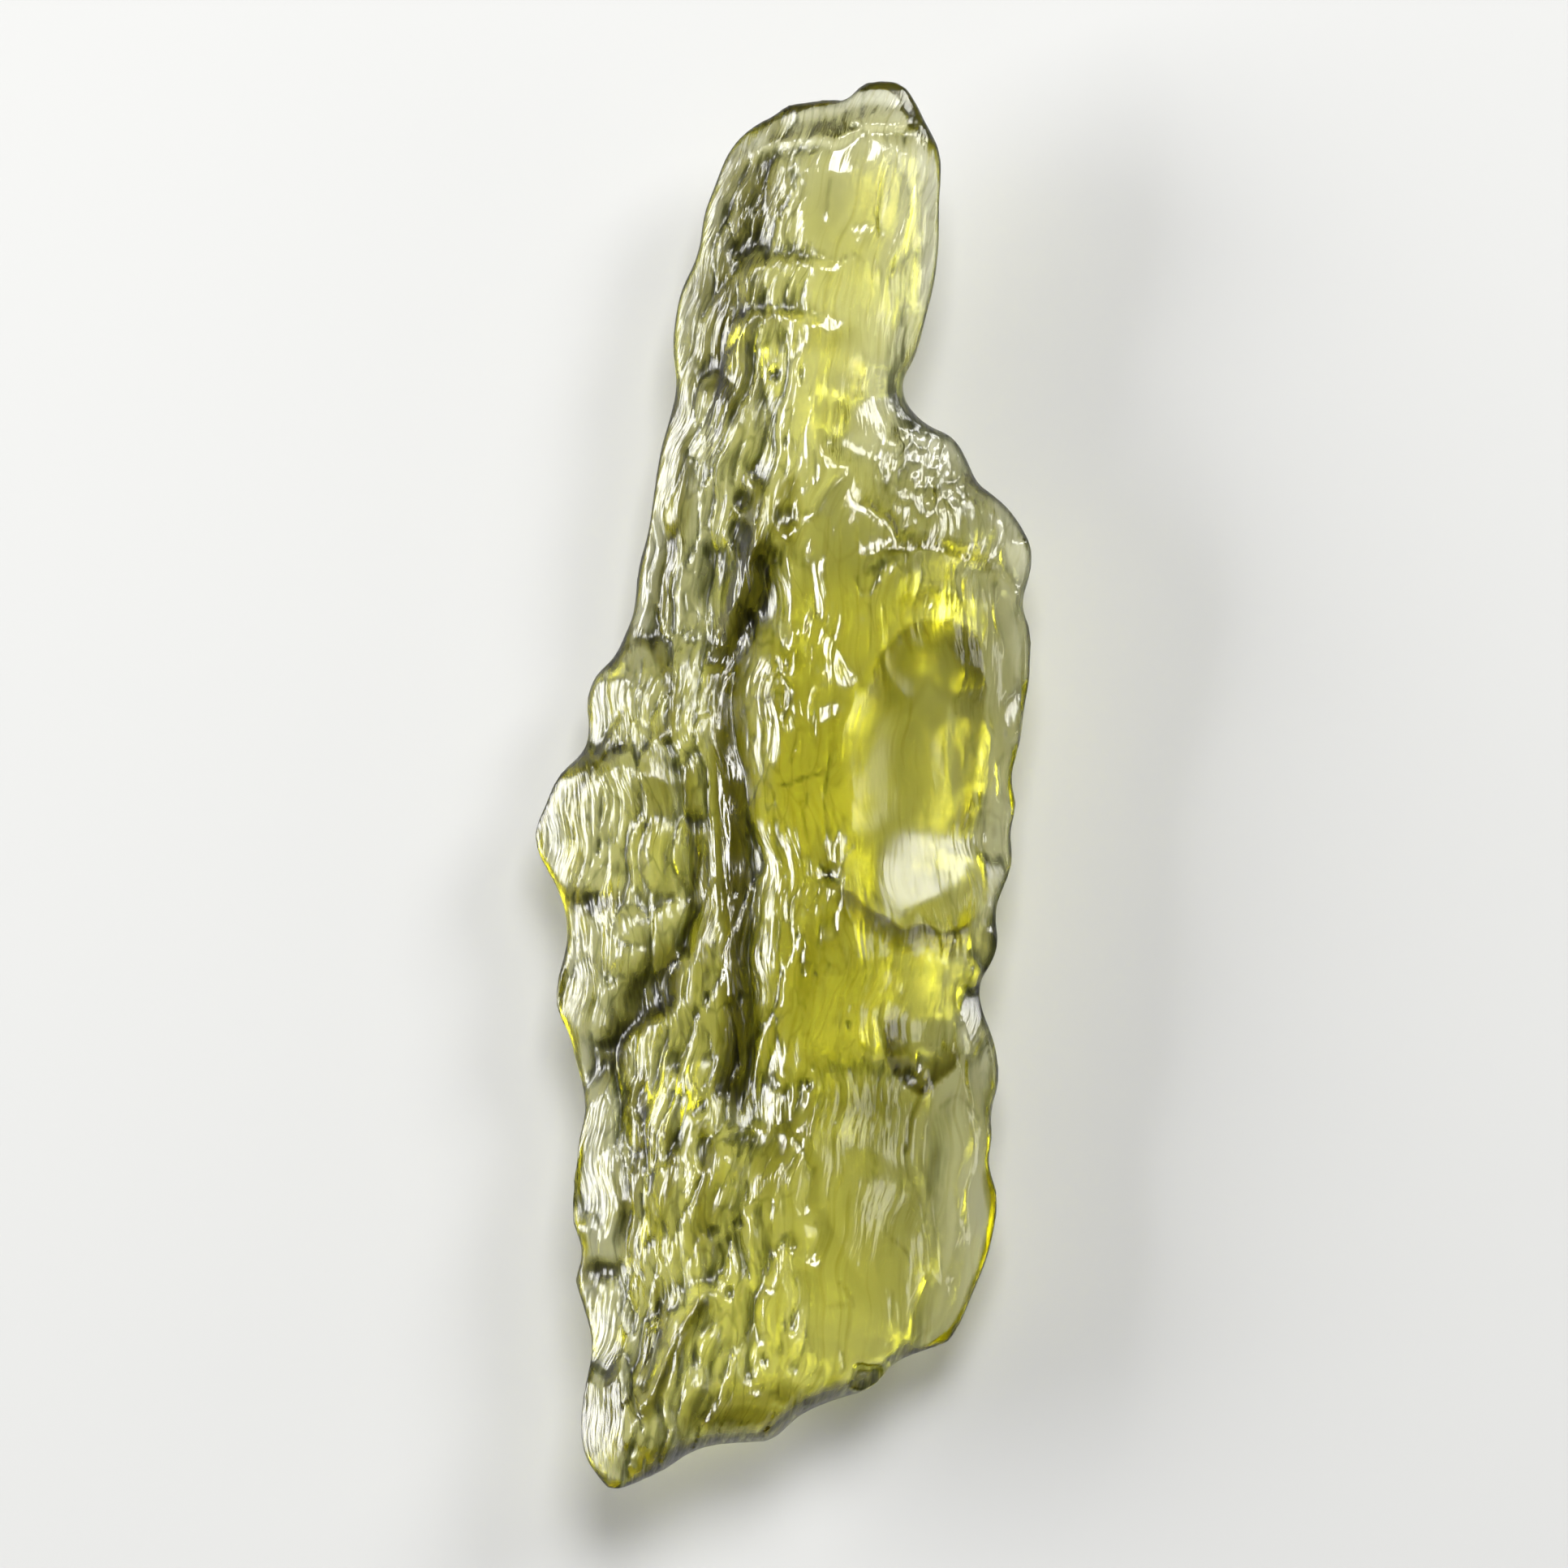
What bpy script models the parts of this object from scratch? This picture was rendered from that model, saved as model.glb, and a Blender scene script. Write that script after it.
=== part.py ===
# Moldavite: one natural piece of clear yellow-green glass, a long thin blade that lies with its fluted face up.
# X runs across the stone and Y along it, in metres, and the stone rests on the plane Z = 0.
# The origin is below the middle of the stone's bounding box.

import math

import bmesh
import bpy
from mathutils import Vector, noise

MM = 0.001  # the sizes below are in millimetres

ROWS_ALONG = 96
COLUMNS_ACROSS = 24
EDGE_STEP_ALONG = 0.003  # the narrow first step in from each end, as a share of the length
EDGE_STEP_ACROSS = 0.009
CALM_REACH = 5  # rows to each side over which the edge's scallops are evened out in the middle
SCALLOP_REACH = 0.25
BLUNT_EDGE = 0.26  # half the thickness of the glass just inside its edge
FACE_EASING = 2  # how many times the face is softened from point to point
BACK_EASING = 2
EDGE_HEIGHT = 2.8  # the thin edge's height above the surface that the stone rests on
END_LIFT = 0.75  # how much higher the edge runs at the two ends, so that the stone bows a little
TWIST = 0.45  # how far the edge rises at one corner and sinks at the next
WAVE_HEIGHT = 0.75  # the edge also wanders up and down along the stone
WAVE_WIDTH = 11.0
WAVE_LENGTH = 4.2
WAVE_PLACE = 3.4
REST_PLANE = 0.0  # the underside is worn flat where it would reach below this

# The outline, read upwards along both sides and from left to right at both ends.
LEFT_SIDE = [
    (-5.26, -20.86), (-5.96, -19.88), (-6.06, -18.94), (-5.92, -17.74), (-5.72, -16.65), (-5.96, -15.68),
    (-6.28, -14.64), (-6.01, -14.11), (-6.06, -13.67), (-6.33, -13.04), (-6.28, -12.17), (-6.26, -11.45),
    (-6.13, -11.01), (-6.18, -10.60), (-5.94, -9.80), (-6.04, -9.03), (-6.26, -8.18), (-6.47, -7.34),
    (-6.79, -6.85), (-6.81, -6.01), (-6.67, -5.40), (-6.52, -4.80), (-6.47, -4.32), (-6.59, -3.71),
    (-6.86, -2.99), (-7.22, -2.38), (-7.44, -1.83), (-7.44, -1.25), (-7.13, -0.62), (-6.93, -0.04),
    (-6.59, 0.45), (-6.06, 0.88), (-5.84, 1.41), (-5.89, 1.97), (-5.92, 2.53), (-5.72, 3.20),
    (-5.09, 3.78), (-4.83, 4.39), (-4.56, 4.94), (-4.47, 5.60), (-4.39, 6.44), (-4.10, 7.41),
    (-3.96, 8.26), (-3.79, 9.47), (-3.64, 10.19), (-3.38, 11.04), (-3.21, 11.88), (-3.33, 12.73),
    (-3.31, 13.58), (-3.11, 14.66), (-2.77, 15.34), (-2.53, 15.99), (-2.43, 16.89), (-2.10, 17.76),
    (-1.71, 18.73), (-1.18, 19.37), (-0.62, 19.72),
]
RIGHT_SIDE = [
    (4.92, -16.70), (5.34, -16.00), (5.72, -15.09), (6.11, -14.14), (6.33, -13.14), (6.42, -12.54),
    (6.30, -11.81), (6.08, -11.21), (6.26, -10.68), (6.21, -9.80), (6.45, -8.91), (6.40, -8.06),
    (6.18, -7.29), (5.89, -6.61), (5.82, -5.94), (6.11, -5.53), (6.33, -5.11), (6.45, -4.49),
    (6.30, -4.00), (6.45, -3.35), (6.79, -2.62), (6.88, -2.02), (6.76, -1.49), (6.96, -0.81),
    (6.96, -0.45), (6.79, 0.16), (6.98, 0.88), (7.13, 1.49), (7.20, 2.33), (7.34, 2.94),
    (7.39, 4.03), (7.37, 4.70), (7.10, 5.23), (7.22, 5.77), (7.42, 6.44), (7.44, 6.88),
    (7.22, 7.51), (6.80, 8.12), (6.37, 8.54), (5.80, 8.93), (5.55, 9.46), (5.25, 10.10),
    (4.87, 10.46), (4.40, 10.60), (3.90, 11.00), (3.57, 11.48), (3.52, 12.01), (3.81, 12.46),
    (4.03, 13.00), (4.27, 13.96), (4.51, 14.93), (4.64, 16.12), (4.64, 17.32), (4.71, 18.38),
    (4.56, 19.03), (4.21, 19.64), (3.94, 20.20), (3.63, 20.68),
]
BOTTOM_END = [
    (-5.26, -20.86), (-4.92, -20.95), (-4.28, -20.72), (-3.45, -20.35), (-2.83, -19.91), (-2.10, -19.67),
    (-1.12, -19.60), (-0.26, -19.55), (0.04, -19.21), (0.42, -18.84), (1.03, -18.54), (1.77, -18.29),
    (2.53, -18.05), (2.90, -17.63), (3.32, -17.24), (4.07, -16.96), (4.92, -16.70),
]
TOP_END = [
    (-0.62, 19.72), (-0.17, 19.95), (0.17, 20.22), (1.06, 20.34), (1.77, 20.36), (2.08, 20.58),
    (2.33, 20.82), (2.88, 20.92), (3.33, 20.87), (3.63, 20.68),
]

# The stone's body at stations along Y: where its thickest line runs, and how far the face and the back
# stand out from the edge there.
STATIONS = [
    # Y, crest X, face, back
    (-21.0, -3.2, 1.50, 1.30),
    (-17.0, -0.6, 2.05, 2.25),
    (-12.0, 0.9, 2.45, 2.80),
    (-6.0, 1.3, 2.75, 3.05),
    (0.0, 1.5, 2.85, 3.10),
    (6.0, 1.9, 2.50, 2.80),
    (11.0, 1.2, 2.00, 2.25),
    (16.0, 1.6, 1.75, 1.80),
    (21.0, 2.0, 1.15, 1.10),
]
LEFT_RISE = 1.7  # how fast the glass thickens from the left edge to the crest; more is steeper
RIGHT_RISE = 2.5
BOTTOM_BREAK = 1.3  # how far the rounding of the broken lower end reaches
TOP_BREAK = 1.9

# Long strokes on the face: a path, how far a stroke reaches to each side, and how far it stands up or cuts in.
FACE_STROKES = [
    # the spine that parts the grey left half from the yellow right half, with the deep flute on its left
    ([(-0.75, 7.6), (-1.12, 4.6), (-1.2, 1.6), (-0.9, -1.8), (-0.68, -5.0), (-0.95, -9.2), (-1.1, -11.4)], 0.95, 0.42),
    ([(-1.45, 9.0), (-1.9, 6.4), (-2.15, 2.6), (-1.95, -1.2), (-1.75, -4.8)], 1.15, -0.62),
    # flutes and rounded ribs that follow the blade
    ([(-3.3, 6.0), (-3.9, 1.8), (-4.3, -2.0), (-4.1, -4.6)], 0.95, 0.26),
    ([(-2.7, 9.6), (-3.1, 5.2), (-3.3, 1.0), (-3.2, -3.4)], 0.8, -0.24),
    ([(-1.3, 15.2), (-1.4, 11.6), (-1.9, 8.6)], 0.9, 0.22),
    ([(-0.5, 17.6), (-0.55, 14.6), (-0.4, 11.0), (0.0, 7.2)], 0.8, -0.2),
    ([(0.55, 5.4), (0.35, 1.2), (0.65, -3.0), (0.6, -7.4)], 0.75, -0.26),
    ([(1.55, -3.4), (1.2, -7.4), (0.75, -11.0)], 0.7, 0.2),
    ([(-2.4, -6.6), (-2.5, -10.6), (-2.9, -15.0), (-3.5, -18.4)], 0.95, 0.2),
    ([(-4.4, -9.4), (-4.5, -13.4), (-4.7, -17.6)], 0.85, -0.22),
]

# Ledges: a path, how high the glass on its right side (seen going along it) stands above the left side,
# and how far the ledge fades out to each side.
FACE_LEDGES = [
    ([(-4.6, -10.2), (-4.55, -8.4), (-4.2, -7.4), (-3.3, -6.6), (-2.85, -5.0), (-2.6, -3.6)], 0.62, 1.9),
    ([(3.0, -4.05), (4.2, -4.35), (5.6, -4.1)], 0.55, 1.5),
    ([(-1.4, 13.6), (-0.9, 15.4), (0.3, 15.7)], 0.3, 1.2),
    ([(-1.3, 11.9), (-0.9, 13.5), (0.5, 13.9)], 0.3, 1.2),
    ([(-6.0, -15.0), (-5.0, -14.4), (-4.4, -13.2)], 0.35, 1.1),
]

# Rounded lobes on the lower left: centre, half length, half width, turn in degrees, height.
FACE_LOBES = [
    ((-1.9, -11.3), 1.8, 0.95, -12, 0.36),
    ((-0.45, -13.4), 2.1, 0.95, -8, 0.28),
    ((0.55, -15.4), 1.7, 0.95, -6, 0.22),
    ((-3.2, -9.4), 1.9, 1.0, -10, 0.32),
    ((-3.4, -13.2), 1.9, 0.95, -14, 0.28),
    ((-2.0, -15.6), 1.8, 0.95, -18, 0.28),
    ((-5.1, -4.2), 1.3, 0.95, 8, 0.3),
    ((-4.9, 0.8), 1.4, 1.0, 24, 0.32),
]

# The large shell-shaped hollow on the right, with the curved ribs of its break above it.
HOLLOW_CENTRE = (3.95, -0.1)
HOLLOW_HALF_WIDTH = 2.35
HOLLOW_HALF_LENGTH = 4.6
HOLLOW_DEPTH = 1.15
RIB_FIRST = 5.1  # radius of the first rib around the hollow
RIB_SPACING = 1.15
RIB_COUNT = 3
RIB_HEIGHT = 0.22

# Thin facets where the right side was chipped: the inner border of each, and how steeply it falls.
RIM_BORDER = [(7.0, 7.2), (6.2, 5.2), (5.85, 2.6), (6.05, 1.5), (5.7, 0.3), (6.0, -0.6), (5.5, -2.0), (5.9, -3.6)]
RIM_FALL = 1.35
CHIP_BORDER = [(5.4, -7.7), (4.0, -9.2), (3.75, -11.0), (4.05, -13.4), (4.1, -15.2), (3.7, -16.8)]
CHIP_FALL = 0.62
NECK_BORDER = [(4.1, 19.2), (3.55, 17.4), (3.45, 14.6), (3.4, 12.4)]
NECK_FALL = 1.1
CAP_BORDER = [(-1.5, 18.4), (-0.3, 18.75), (1.5, 18.95), (2.4, 19.3), (3.9, 18.9)]
CAP_FALL = 0.75
NOTCH = ((4.0, -8.35), 0.95, 0.7)  # the dark nick above the chip: centre, reach, depth

# Broad strokes on the back, which lies out of sight in the photograph.
BACK_STROKES = [
    ([(1.0, 19.0), (1.6, 13.0), (2.6, 7.6)], 1.0, -0.32),
    ([(-1.0, 15.0), (-1.6, 9.4), (-2.7, 3.8)], 1.0, -0.3),
    ([(-4.4, 3.0), (-5.0, -2.0), (-4.6, -7.0)], 0.95, 0.26),
    ([(-3.4, -1.0), (-3.5, -7.0), (-4.2, -13.6)], 1.0, -0.34),
    ([(4.9, 6.4), (5.3, 1.0), (4.9, -4.6)], 1.0, -0.36),
    ([(4.2, -6.2), (4.4, -10.8), (3.4, -15.0)], 1.0, 0.24),
    ([(-0.6, -14.6), (-1.6, -17.0), (-3.4, -19.4)], 0.9, -0.26),
]

# Uneven flow relief left by etching, stretched along the blade.
FLOW_HEIGHT = 0.3
FLOW_WIDTH = 1.15
FLOW_LENGTH = 4.4
FLOW_OCTAVES = 2
BACK_SHIFT = 37.0  # moves the pattern, so that the back isn't a copy of the face


def smoothstep(share):
    share = min(1.0, max(0.0, share))
    return share * share * (3 - 2 * share)


def between(low, high, share):
    return low + (high - low) * share


def smooth_curve(points, per_span=8):
    # Points along a Catmull-Rom curve through the given ones.
    points = [Vector(p) for p in points]
    ends = [2 * points[0] - points[1], *points, 2 * points[-1] - points[-2]]
    curve = []
    for a, b, c, d in zip(ends, ends[1:], ends[2:], ends[3:]):
        for step in range(per_span):
            t = step / per_span
            curve.append(0.5 * (2 * b + (c - a) * t + (2 * a - 5 * b + 4 * c - d) * t * t + (3 * b - a - 3 * c + d) * t**3))
    return [*curve, points[-1]]


def placed_at(points, shares_along, sideways):
    # Points at these shares of the smooth curve. A step across X counts as sideways times one along Y.
    curve = smooth_curve(points)
    travelled = [0.0]
    for a, b in zip(curve, curve[1:]):
        travelled.append(travelled[-1] + abs(b.y - a.y) + sideways * abs(b.x - a.x))
    placed = []
    i = 0
    for part in shares_along:
        wanted = travelled[-1] * part
        while i < len(curve) - 2 and travelled[i + 1] < wanted:
            i += 1
        share = (wanted - travelled[i]) / max(travelled[i + 1] - travelled[i], 1e-9)
        placed.append(curve[i].lerp(curve[i + 1], min(1.0, share)))
    return placed


def station_at(y):
    # Crest X, face height and back depth, eased between the stations.
    for low, high in zip(STATIONS, STATIONS[1:]):
        if y <= high[0] or high is STATIONS[-1]:
            share = smoothstep((y - low[0]) / (high[0] - low[0]))
            return [between(a, b, share) for a, b in zip(low[1:], high[1:])]


def nearest_on(path, x, y):
    # Distance to a path, and how far the point lies to the path's right, both from its nearest point.
    best = (1e9, 0.0, 0.0)
    for (ax, ay), (bx, by) in zip(path, path[1:]):
        dx, dy = bx - ax, by - ay
        length = math.hypot(dx, dy)
        share = ((x - ax) * dx + (y - ay) * dy) / length**2
        held = min(1.0, max(0.0, share))
        distance = math.hypot(x - ax - held * dx, y - ay - held * dy)
        if distance < best[0]:
            past_end = max(0.0, -share, share - 1) * length
            best = (distance, ((x - ax) * dy - (y - ay) * dx) / length, past_end)
    return best


def stroke_height(strokes, x, y):
    total = 0.0
    for path, reach, height in strokes:
        distance = nearest_on(path, x, y)[0]
        total += height * smoothstep(1 - distance / reach)
    return total


def ledge_height(x, y):
    total = 0.0
    for path, step, reach in FACE_LEDGES:
        distance, to_right, past_end = nearest_on(path, x, y)
        edge = math.tanh(to_right / 0.35)
        total += 0.5 * step * edge * smoothstep(1 - distance / reach) * smoothstep(1 - past_end / reach)
    return total


def lobe_height(x, y):
    total = 0.0
    for (cx, cy), half_length, half_width, turn, height in FACE_LOBES:
        angle = math.radians(turn)
        along = (y - cy) * math.cos(angle) - (x - cx) * math.sin(angle)
        across = (x - cx) * math.cos(angle) + (y - cy) * math.sin(angle)
        spread = (along / half_length) ** 2 + (across / half_width) ** 2
        total += height * smoothstep(1.25 - spread)
    return total


def hollow_height(x, y):
    across = (x - HOLLOW_CENTRE[0]) / HOLLOW_HALF_WIDTH
    along = (y - HOLLOW_CENTRE[1]) / HOLLOW_HALF_LENGTH
    cut = -HOLLOW_DEPTH * smoothstep(1.15 - across**2 - along**2)
    radius = math.hypot(x - HOLLOW_CENTRE[0], y - HOLLOW_CENTRE[1])
    above = smoothstep((y - HOLLOW_CENTRE[1]) / radius * 2 - 0.6) if radius > 0.1 else 0.0
    for rib in range(RIB_COUNT):
        cut += above * RIB_HEIGHT * smoothstep(1 - abs(radius - RIB_FIRST - rib * RIB_SPACING) / (RIB_SPACING / 2))
    return cut


def facet_drop(border, fall, x, y, outwards):
    # How far the face falls outside a facet's border. outwards is +1 where the facet lies left of its path.
    distance, to_right, past_end = nearest_on(border, x, y)
    outside = -to_right * outwards
    if outside <= 0:
        return 0.0
    return fall * distance * smoothstep(1.2 - past_end)


def flow_relief(across, y, shift):
    place = Vector((across / FLOW_WIDTH, y / FLOW_LENGTH, shift))
    return FLOW_HEIGHT * noise.fractal(place, 0.9, 2.1, FLOW_OCTAVES)


def rise_across(x, left_x, right_x, crest_x):
    # 0 at both edges and 1 on the crest.
    if x < crest_x:
        return 1 - (1 - (x - left_x) / (crest_x - left_x)) ** LEFT_RISE
    return 1 - (1 - (right_x - x) / (right_x - crest_x)) ** RIGHT_RISE


def end_rounding(distance, reach):
    share = 1 - min(1.0, distance / reach)
    return math.sqrt(1 - share * share)


def shares(count, first):
    # count + 1 places from 0 to 1, evenly spaced but for a narrow first and last step, which round the thin edge.
    inner = [between(first, 1 - first, i / (count - 2)) for i in range(count - 1)]
    return [0.0, *inner, 1.0]


def calmed(points):
    # The same line without its small scallops: each point becomes the mean of those around it.
    means = []
    for i in range(len(points)):
        reach = min(CALM_REACH, i, len(points) - 1 - i)
        near = points[i - reach : i + reach + 1]
        means.append(sum(near, Vector((0.0, 0.0))) / len(near))
    return means


def outline_grid():
    # Columns and rows of points that fill the outline. Its scallops die out towards the middle.
    rows = shares(ROWS_ALONG, EDGE_STEP_ALONG)
    columns = shares(COLUMNS_ACROSS, EDGE_STEP_ACROSS)
    left = placed_at(LEFT_SIDE, rows, 0.35)
    right = placed_at(RIGHT_SIDE, rows, 0.35)
    bottom = placed_at(BOTTOM_END, columns, 2.0)
    top = placed_at(TOP_END, columns, 2.0)
    calm_left, calm_right = calmed(left), calmed(right)
    grid = []
    for row, s in enumerate(rows):
        line = []
        for column, u in enumerate(columns):
            point = calm_left[row].lerp(calm_right[row], u)
            point += (left[row] - calm_left[row]) * max(0.0, 1 - u / SCALLOP_REACH) ** 2
            point += (right[row] - calm_right[row]) * max(0.0, 1 - (1 - u) / SCALLOP_REACH) ** 2
            point += (bottom[column] - bottom[0].lerp(bottom[-1], u)) * (1 - s) ** 4
            point += (top[column] - top[0].lerp(top[-1], u)) * s**4
            line.append(point)
        grid.append(line)
    return grid


def surface_heights(line, column, row, grid):
    # Z of the face and of the back over one point of the outline.
    x, y = line[column]
    left_x, right_x = line[0].x, line[-1].x
    crest_x, face, back = station_at(y)
    crest_x = min(max(crest_x, between(left_x, right_x, 0.3)), between(left_x, right_x, 0.75))
    rise = max(0.0, rise_across(x, left_x, right_x, crest_x))
    to_bottom = (line[column] - grid[0][column]).length
    to_top = (line[column] - grid[-1][column]).length
    ends = end_rounding(to_bottom, BOTTOM_BREAK) * end_rounding(to_top, TOP_BREAK)
    on_rim = row in (0, ROWS_ALONG) or column in (0, COLUMNS_ACROSS)
    blunt = 0.0 if on_rim else BLUNT_EDGE
    across = (x - left_x) / (right_x - left_x) * 13
    bow = (y / 21.0) ** 2
    edge = EDGE_HEIGHT + END_LIFT * bow + TWIST * (x / 7.0) * (y / 21.0)
    edge += WAVE_HEIGHT * noise.noise(Vector((x / WAVE_WIDTH, y / WAVE_LENGTH, WAVE_PLACE)))

    relief = stroke_height(FACE_STROKES, x, y) + ledge_height(x, y) + lobe_height(x, y) + hollow_height(x, y)
    relief += flow_relief(across, y, 0.0)
    relief -= facet_drop(RIM_BORDER, RIM_FALL, x, y, 1)
    relief -= facet_drop(CHIP_BORDER, CHIP_FALL, x, y, 1)
    relief -= facet_drop(NECK_BORDER, NECK_FALL, x, y, 1)
    relief -= facet_drop(CAP_BORDER, CAP_FALL, x, y, 1)
    (notch_x, notch_y), reach, depth = NOTCH
    relief -= depth * smoothstep(1 - math.hypot(x - notch_x, y - notch_y) / reach)
    fade = min(1.0, rise * 2.2)  # relief dies out towards the thin edge
    top_z = edge + max(blunt, ends * (face * rise + relief * fade))

    under = stroke_height(BACK_STROKES, x, y) + flow_relief(across, y, BACK_SHIFT)
    bottom_z = edge - max(blunt, ends * (back * rise + under * fade))
    return top_z, bottom_z


def eased(heights, passes):
    # Heights with the steps from point to point softened; the rim keeps its own.
    for _ in range(passes):
        softer = [list(line) for line in heights]
        for row in range(1, ROWS_ALONG):
            for column in range(1, COLUMNS_ACROSS):
                here = heights[row][column]
                beside = heights[row][column - 1] + heights[row][column + 1]
                along = heights[row - 1][column] + heights[row + 1][column]
                softer[row][column] = 0.5 * here + 0.125 * (beside + along)
        heights = softer
    return heights


def build_sheet(grid, heights):
    # One side of the stone: Blender's grid, with each point moved to its place on the outline.
    sheet = bmesh.new()
    bmesh.ops.create_grid(sheet, x_segments=COLUMNS_ACROSS, y_segments=ROWS_ALONG, size=0.5)
    for vert in sheet.verts:
        column = round((vert.co.x + 0.5) * COLUMNS_ACROSS)
        row = round((vert.co.y + 0.5) * ROWS_ALONG)
        x, y = grid[row][column]
        vert.co = Vector((x, y, heights[row][column])) * MM
    return sheet


def glass_material():
    material = bpy.data.materials.new("moldavite_glass")
    material.use_nodes = True
    shader = material.node_tree.nodes["Principled BSDF"]
    shader.inputs["Base Color"].default_value = (0.62, 0.60, 0.18, 1.0)
    shader.inputs["Roughness"].default_value = 0.12
    shader.inputs["Metallic"].default_value = 0.0
    shader.inputs["Transmission Weight"].default_value = 0.9
    shader.inputs["IOR"].default_value = 1.49
    material.diffuse_color = (0.62, 0.60, 0.18, 1.0)
    return material


def build_moldavite():
    grid = outline_grid()
    face, back = [], []
    for row, line in enumerate(grid):
        pairs = [surface_heights(line, column, row, grid) for column in range(COLUMNS_ACROSS + 1)]
        face.append([top for top, _ in pairs])
        back.append([bottom for _, bottom in pairs])
    face = eased(face, FACE_EASING)
    back = [[max(z, REST_PLANE) for z in line] for line in eased(back, BACK_EASING)]

    stone = build_sheet(grid, face)
    underside = build_sheet(grid, back)
    bmesh.ops.reverse_faces(underside, faces=underside.faces)
    mesh = bpy.data.meshes.new("moldavite")
    underside.to_mesh(mesh)
    stone.from_mesh(mesh)
    bmesh.ops.remove_doubles(stone, verts=stone.verts, dist=0.001 * MM)
    bmesh.ops.triangulate(stone, faces=stone.faces, quad_method="FIXED")
    bmesh.ops.recalc_face_normals(stone, faces=stone.faces)
    stone.to_mesh(mesh)
    underside.free()
    stone.free()
    mesh.shade_smooth()
    mesh.materials.append(glass_material())
    return bpy.data.objects.new("moldavite", mesh)


def main():
    for obj in list(bpy.data.objects):
        bpy.data.objects.remove(obj)
    collection = bpy.data.collections.new("moldavite")
    bpy.context.scene.collection.children.link(collection)
    collection.objects.link(build_moldavite())


main()
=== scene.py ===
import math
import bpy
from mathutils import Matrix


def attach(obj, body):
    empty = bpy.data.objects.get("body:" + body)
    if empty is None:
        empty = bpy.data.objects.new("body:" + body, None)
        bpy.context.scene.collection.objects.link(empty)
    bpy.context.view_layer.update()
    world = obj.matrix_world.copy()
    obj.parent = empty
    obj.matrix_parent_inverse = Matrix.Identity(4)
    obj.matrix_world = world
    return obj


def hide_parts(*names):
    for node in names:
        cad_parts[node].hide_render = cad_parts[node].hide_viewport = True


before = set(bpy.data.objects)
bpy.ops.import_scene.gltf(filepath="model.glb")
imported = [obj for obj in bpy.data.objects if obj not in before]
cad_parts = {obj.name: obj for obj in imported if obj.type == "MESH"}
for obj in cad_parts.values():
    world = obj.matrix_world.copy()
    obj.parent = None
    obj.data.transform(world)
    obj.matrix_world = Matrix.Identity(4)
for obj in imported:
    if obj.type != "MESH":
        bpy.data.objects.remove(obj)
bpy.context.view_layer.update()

# Looks for the moldavite: a long blade of clear yellow-green glass on a pale floor, seen from straight above.
# The stone is worked in millimetres and brought back to metres at the end.

from types import SimpleNamespace

import bmesh
import bpy
import numpy as np
from mathutils import Vector
from mathutils.bvhtree import BVHTree

mm = 0.001


def smoothStep(share):
    share = np.clip(share, 0.0, 1.0)
    return share * share * (3 - 2 * share)


# The stone's surface, from the solid

surface = {
    "name": "moldaviteStone",
    "merging": 0.002,  # points of the solid nearer than this are one
    "rimAngle": 50,  # degrees, edges sharper than this keep their crease when the solid is rounded
    "rimCrease": 0.9,
    "stretch": (1.55, 0.62, 1.15),  # the quads come out narrow across the blade and long along it
    "voxel": 0.1,
    "backKept": 0.64,  # share of all faces left once the back is made coarser
    "backFacing": -0.25,  # points whose normals rise less than this belong to the back
    "evening": 6,  # smoothing passes
    "heightEvening": 18,  # further passes on the heights alone
    "calmEvening": 130,  # and in the smooth windows
}


def roundedSolid(settings):
    # a copy of the solid in millimetres: merged, rounded, then remeshed into small even quads
    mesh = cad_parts["moldavite"].data.copy()
    shape = bmesh.new()
    shape.from_mesh(mesh)
    bmesh.ops.scale(shape, vec=(1 / mm,) * 3, verts=shape.verts)
    bmesh.ops.remove_doubles(shape, verts=shape.verts, dist=settings["merging"])
    crease = shape.edges.layers.float.new("crease_edge")
    for edge in shape.edges:
        if edge.is_manifold and edge.calc_face_angle() > math.radians(settings["rimAngle"]):
            edge[crease] = settings["rimCrease"]
    shape.to_mesh(mesh)
    shape.free()
    stone = bpy.data.objects.new(settings["name"], mesh)
    bpy.context.scene.collection.objects.link(stone)

    rounding = stone.modifiers.new("rounding", "SUBSURF")
    rounding.levels = 1
    rounding.render_levels = 1
    stone.scale = settings["stretch"]
    bakeModifiers(stone, applyScale=True)
    even = stone.modifiers.new("even", "REMESH")
    even.mode = "VOXEL"
    even.voxel_size = settings["voxel"]
    bakeModifiers(stone)
    for vertex in stone.data.vertices:
        vertex.co = Vector(c / s for c, s in zip(vertex.co, settings["stretch"]))
    coarserBack(stone, settings)
    return stone


def coarserBack(stone, settings):
    # fewer, larger faces on the back, which lies out of sight; the face keeps its even quads
    group = stone.vertex_groups.new(name="back")
    lower = np.flatnonzero(readNormals(stone.data)[:, 2] < settings["backFacing"])
    group.add(lower.tolist(), 1.0, "REPLACE")
    fewer = stone.modifiers.new("fewer", "DECIMATE")
    fewer.ratio = settings["backKept"]
    fewer.vertex_group = group.name
    bakeModifiers(stone)
    stone.vertex_groups.clear()


def bakeModifiers(stone, applyScale=False):
    # turns the modifiers' result into the object's own plain mesh
    depsgraph = bpy.context.evaluated_depsgraph_get()
    baked = bpy.data.meshes.new_from_object(stone.evaluated_get(depsgraph))
    stone.modifiers.clear()
    stone.data = baked
    if applyScale:
        baked.transform(stone.matrix_basis)
        stone.scale = (1, 1, 1)


def readPoints(mesh):
    points = np.empty(len(mesh.vertices) * 3)
    mesh.vertices.foreach_get("co", points)
    return points.reshape(-1, 3)


def writePoints(mesh, points):
    mesh.vertices.foreach_set("co", points.ravel())
    mesh.update()


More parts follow.
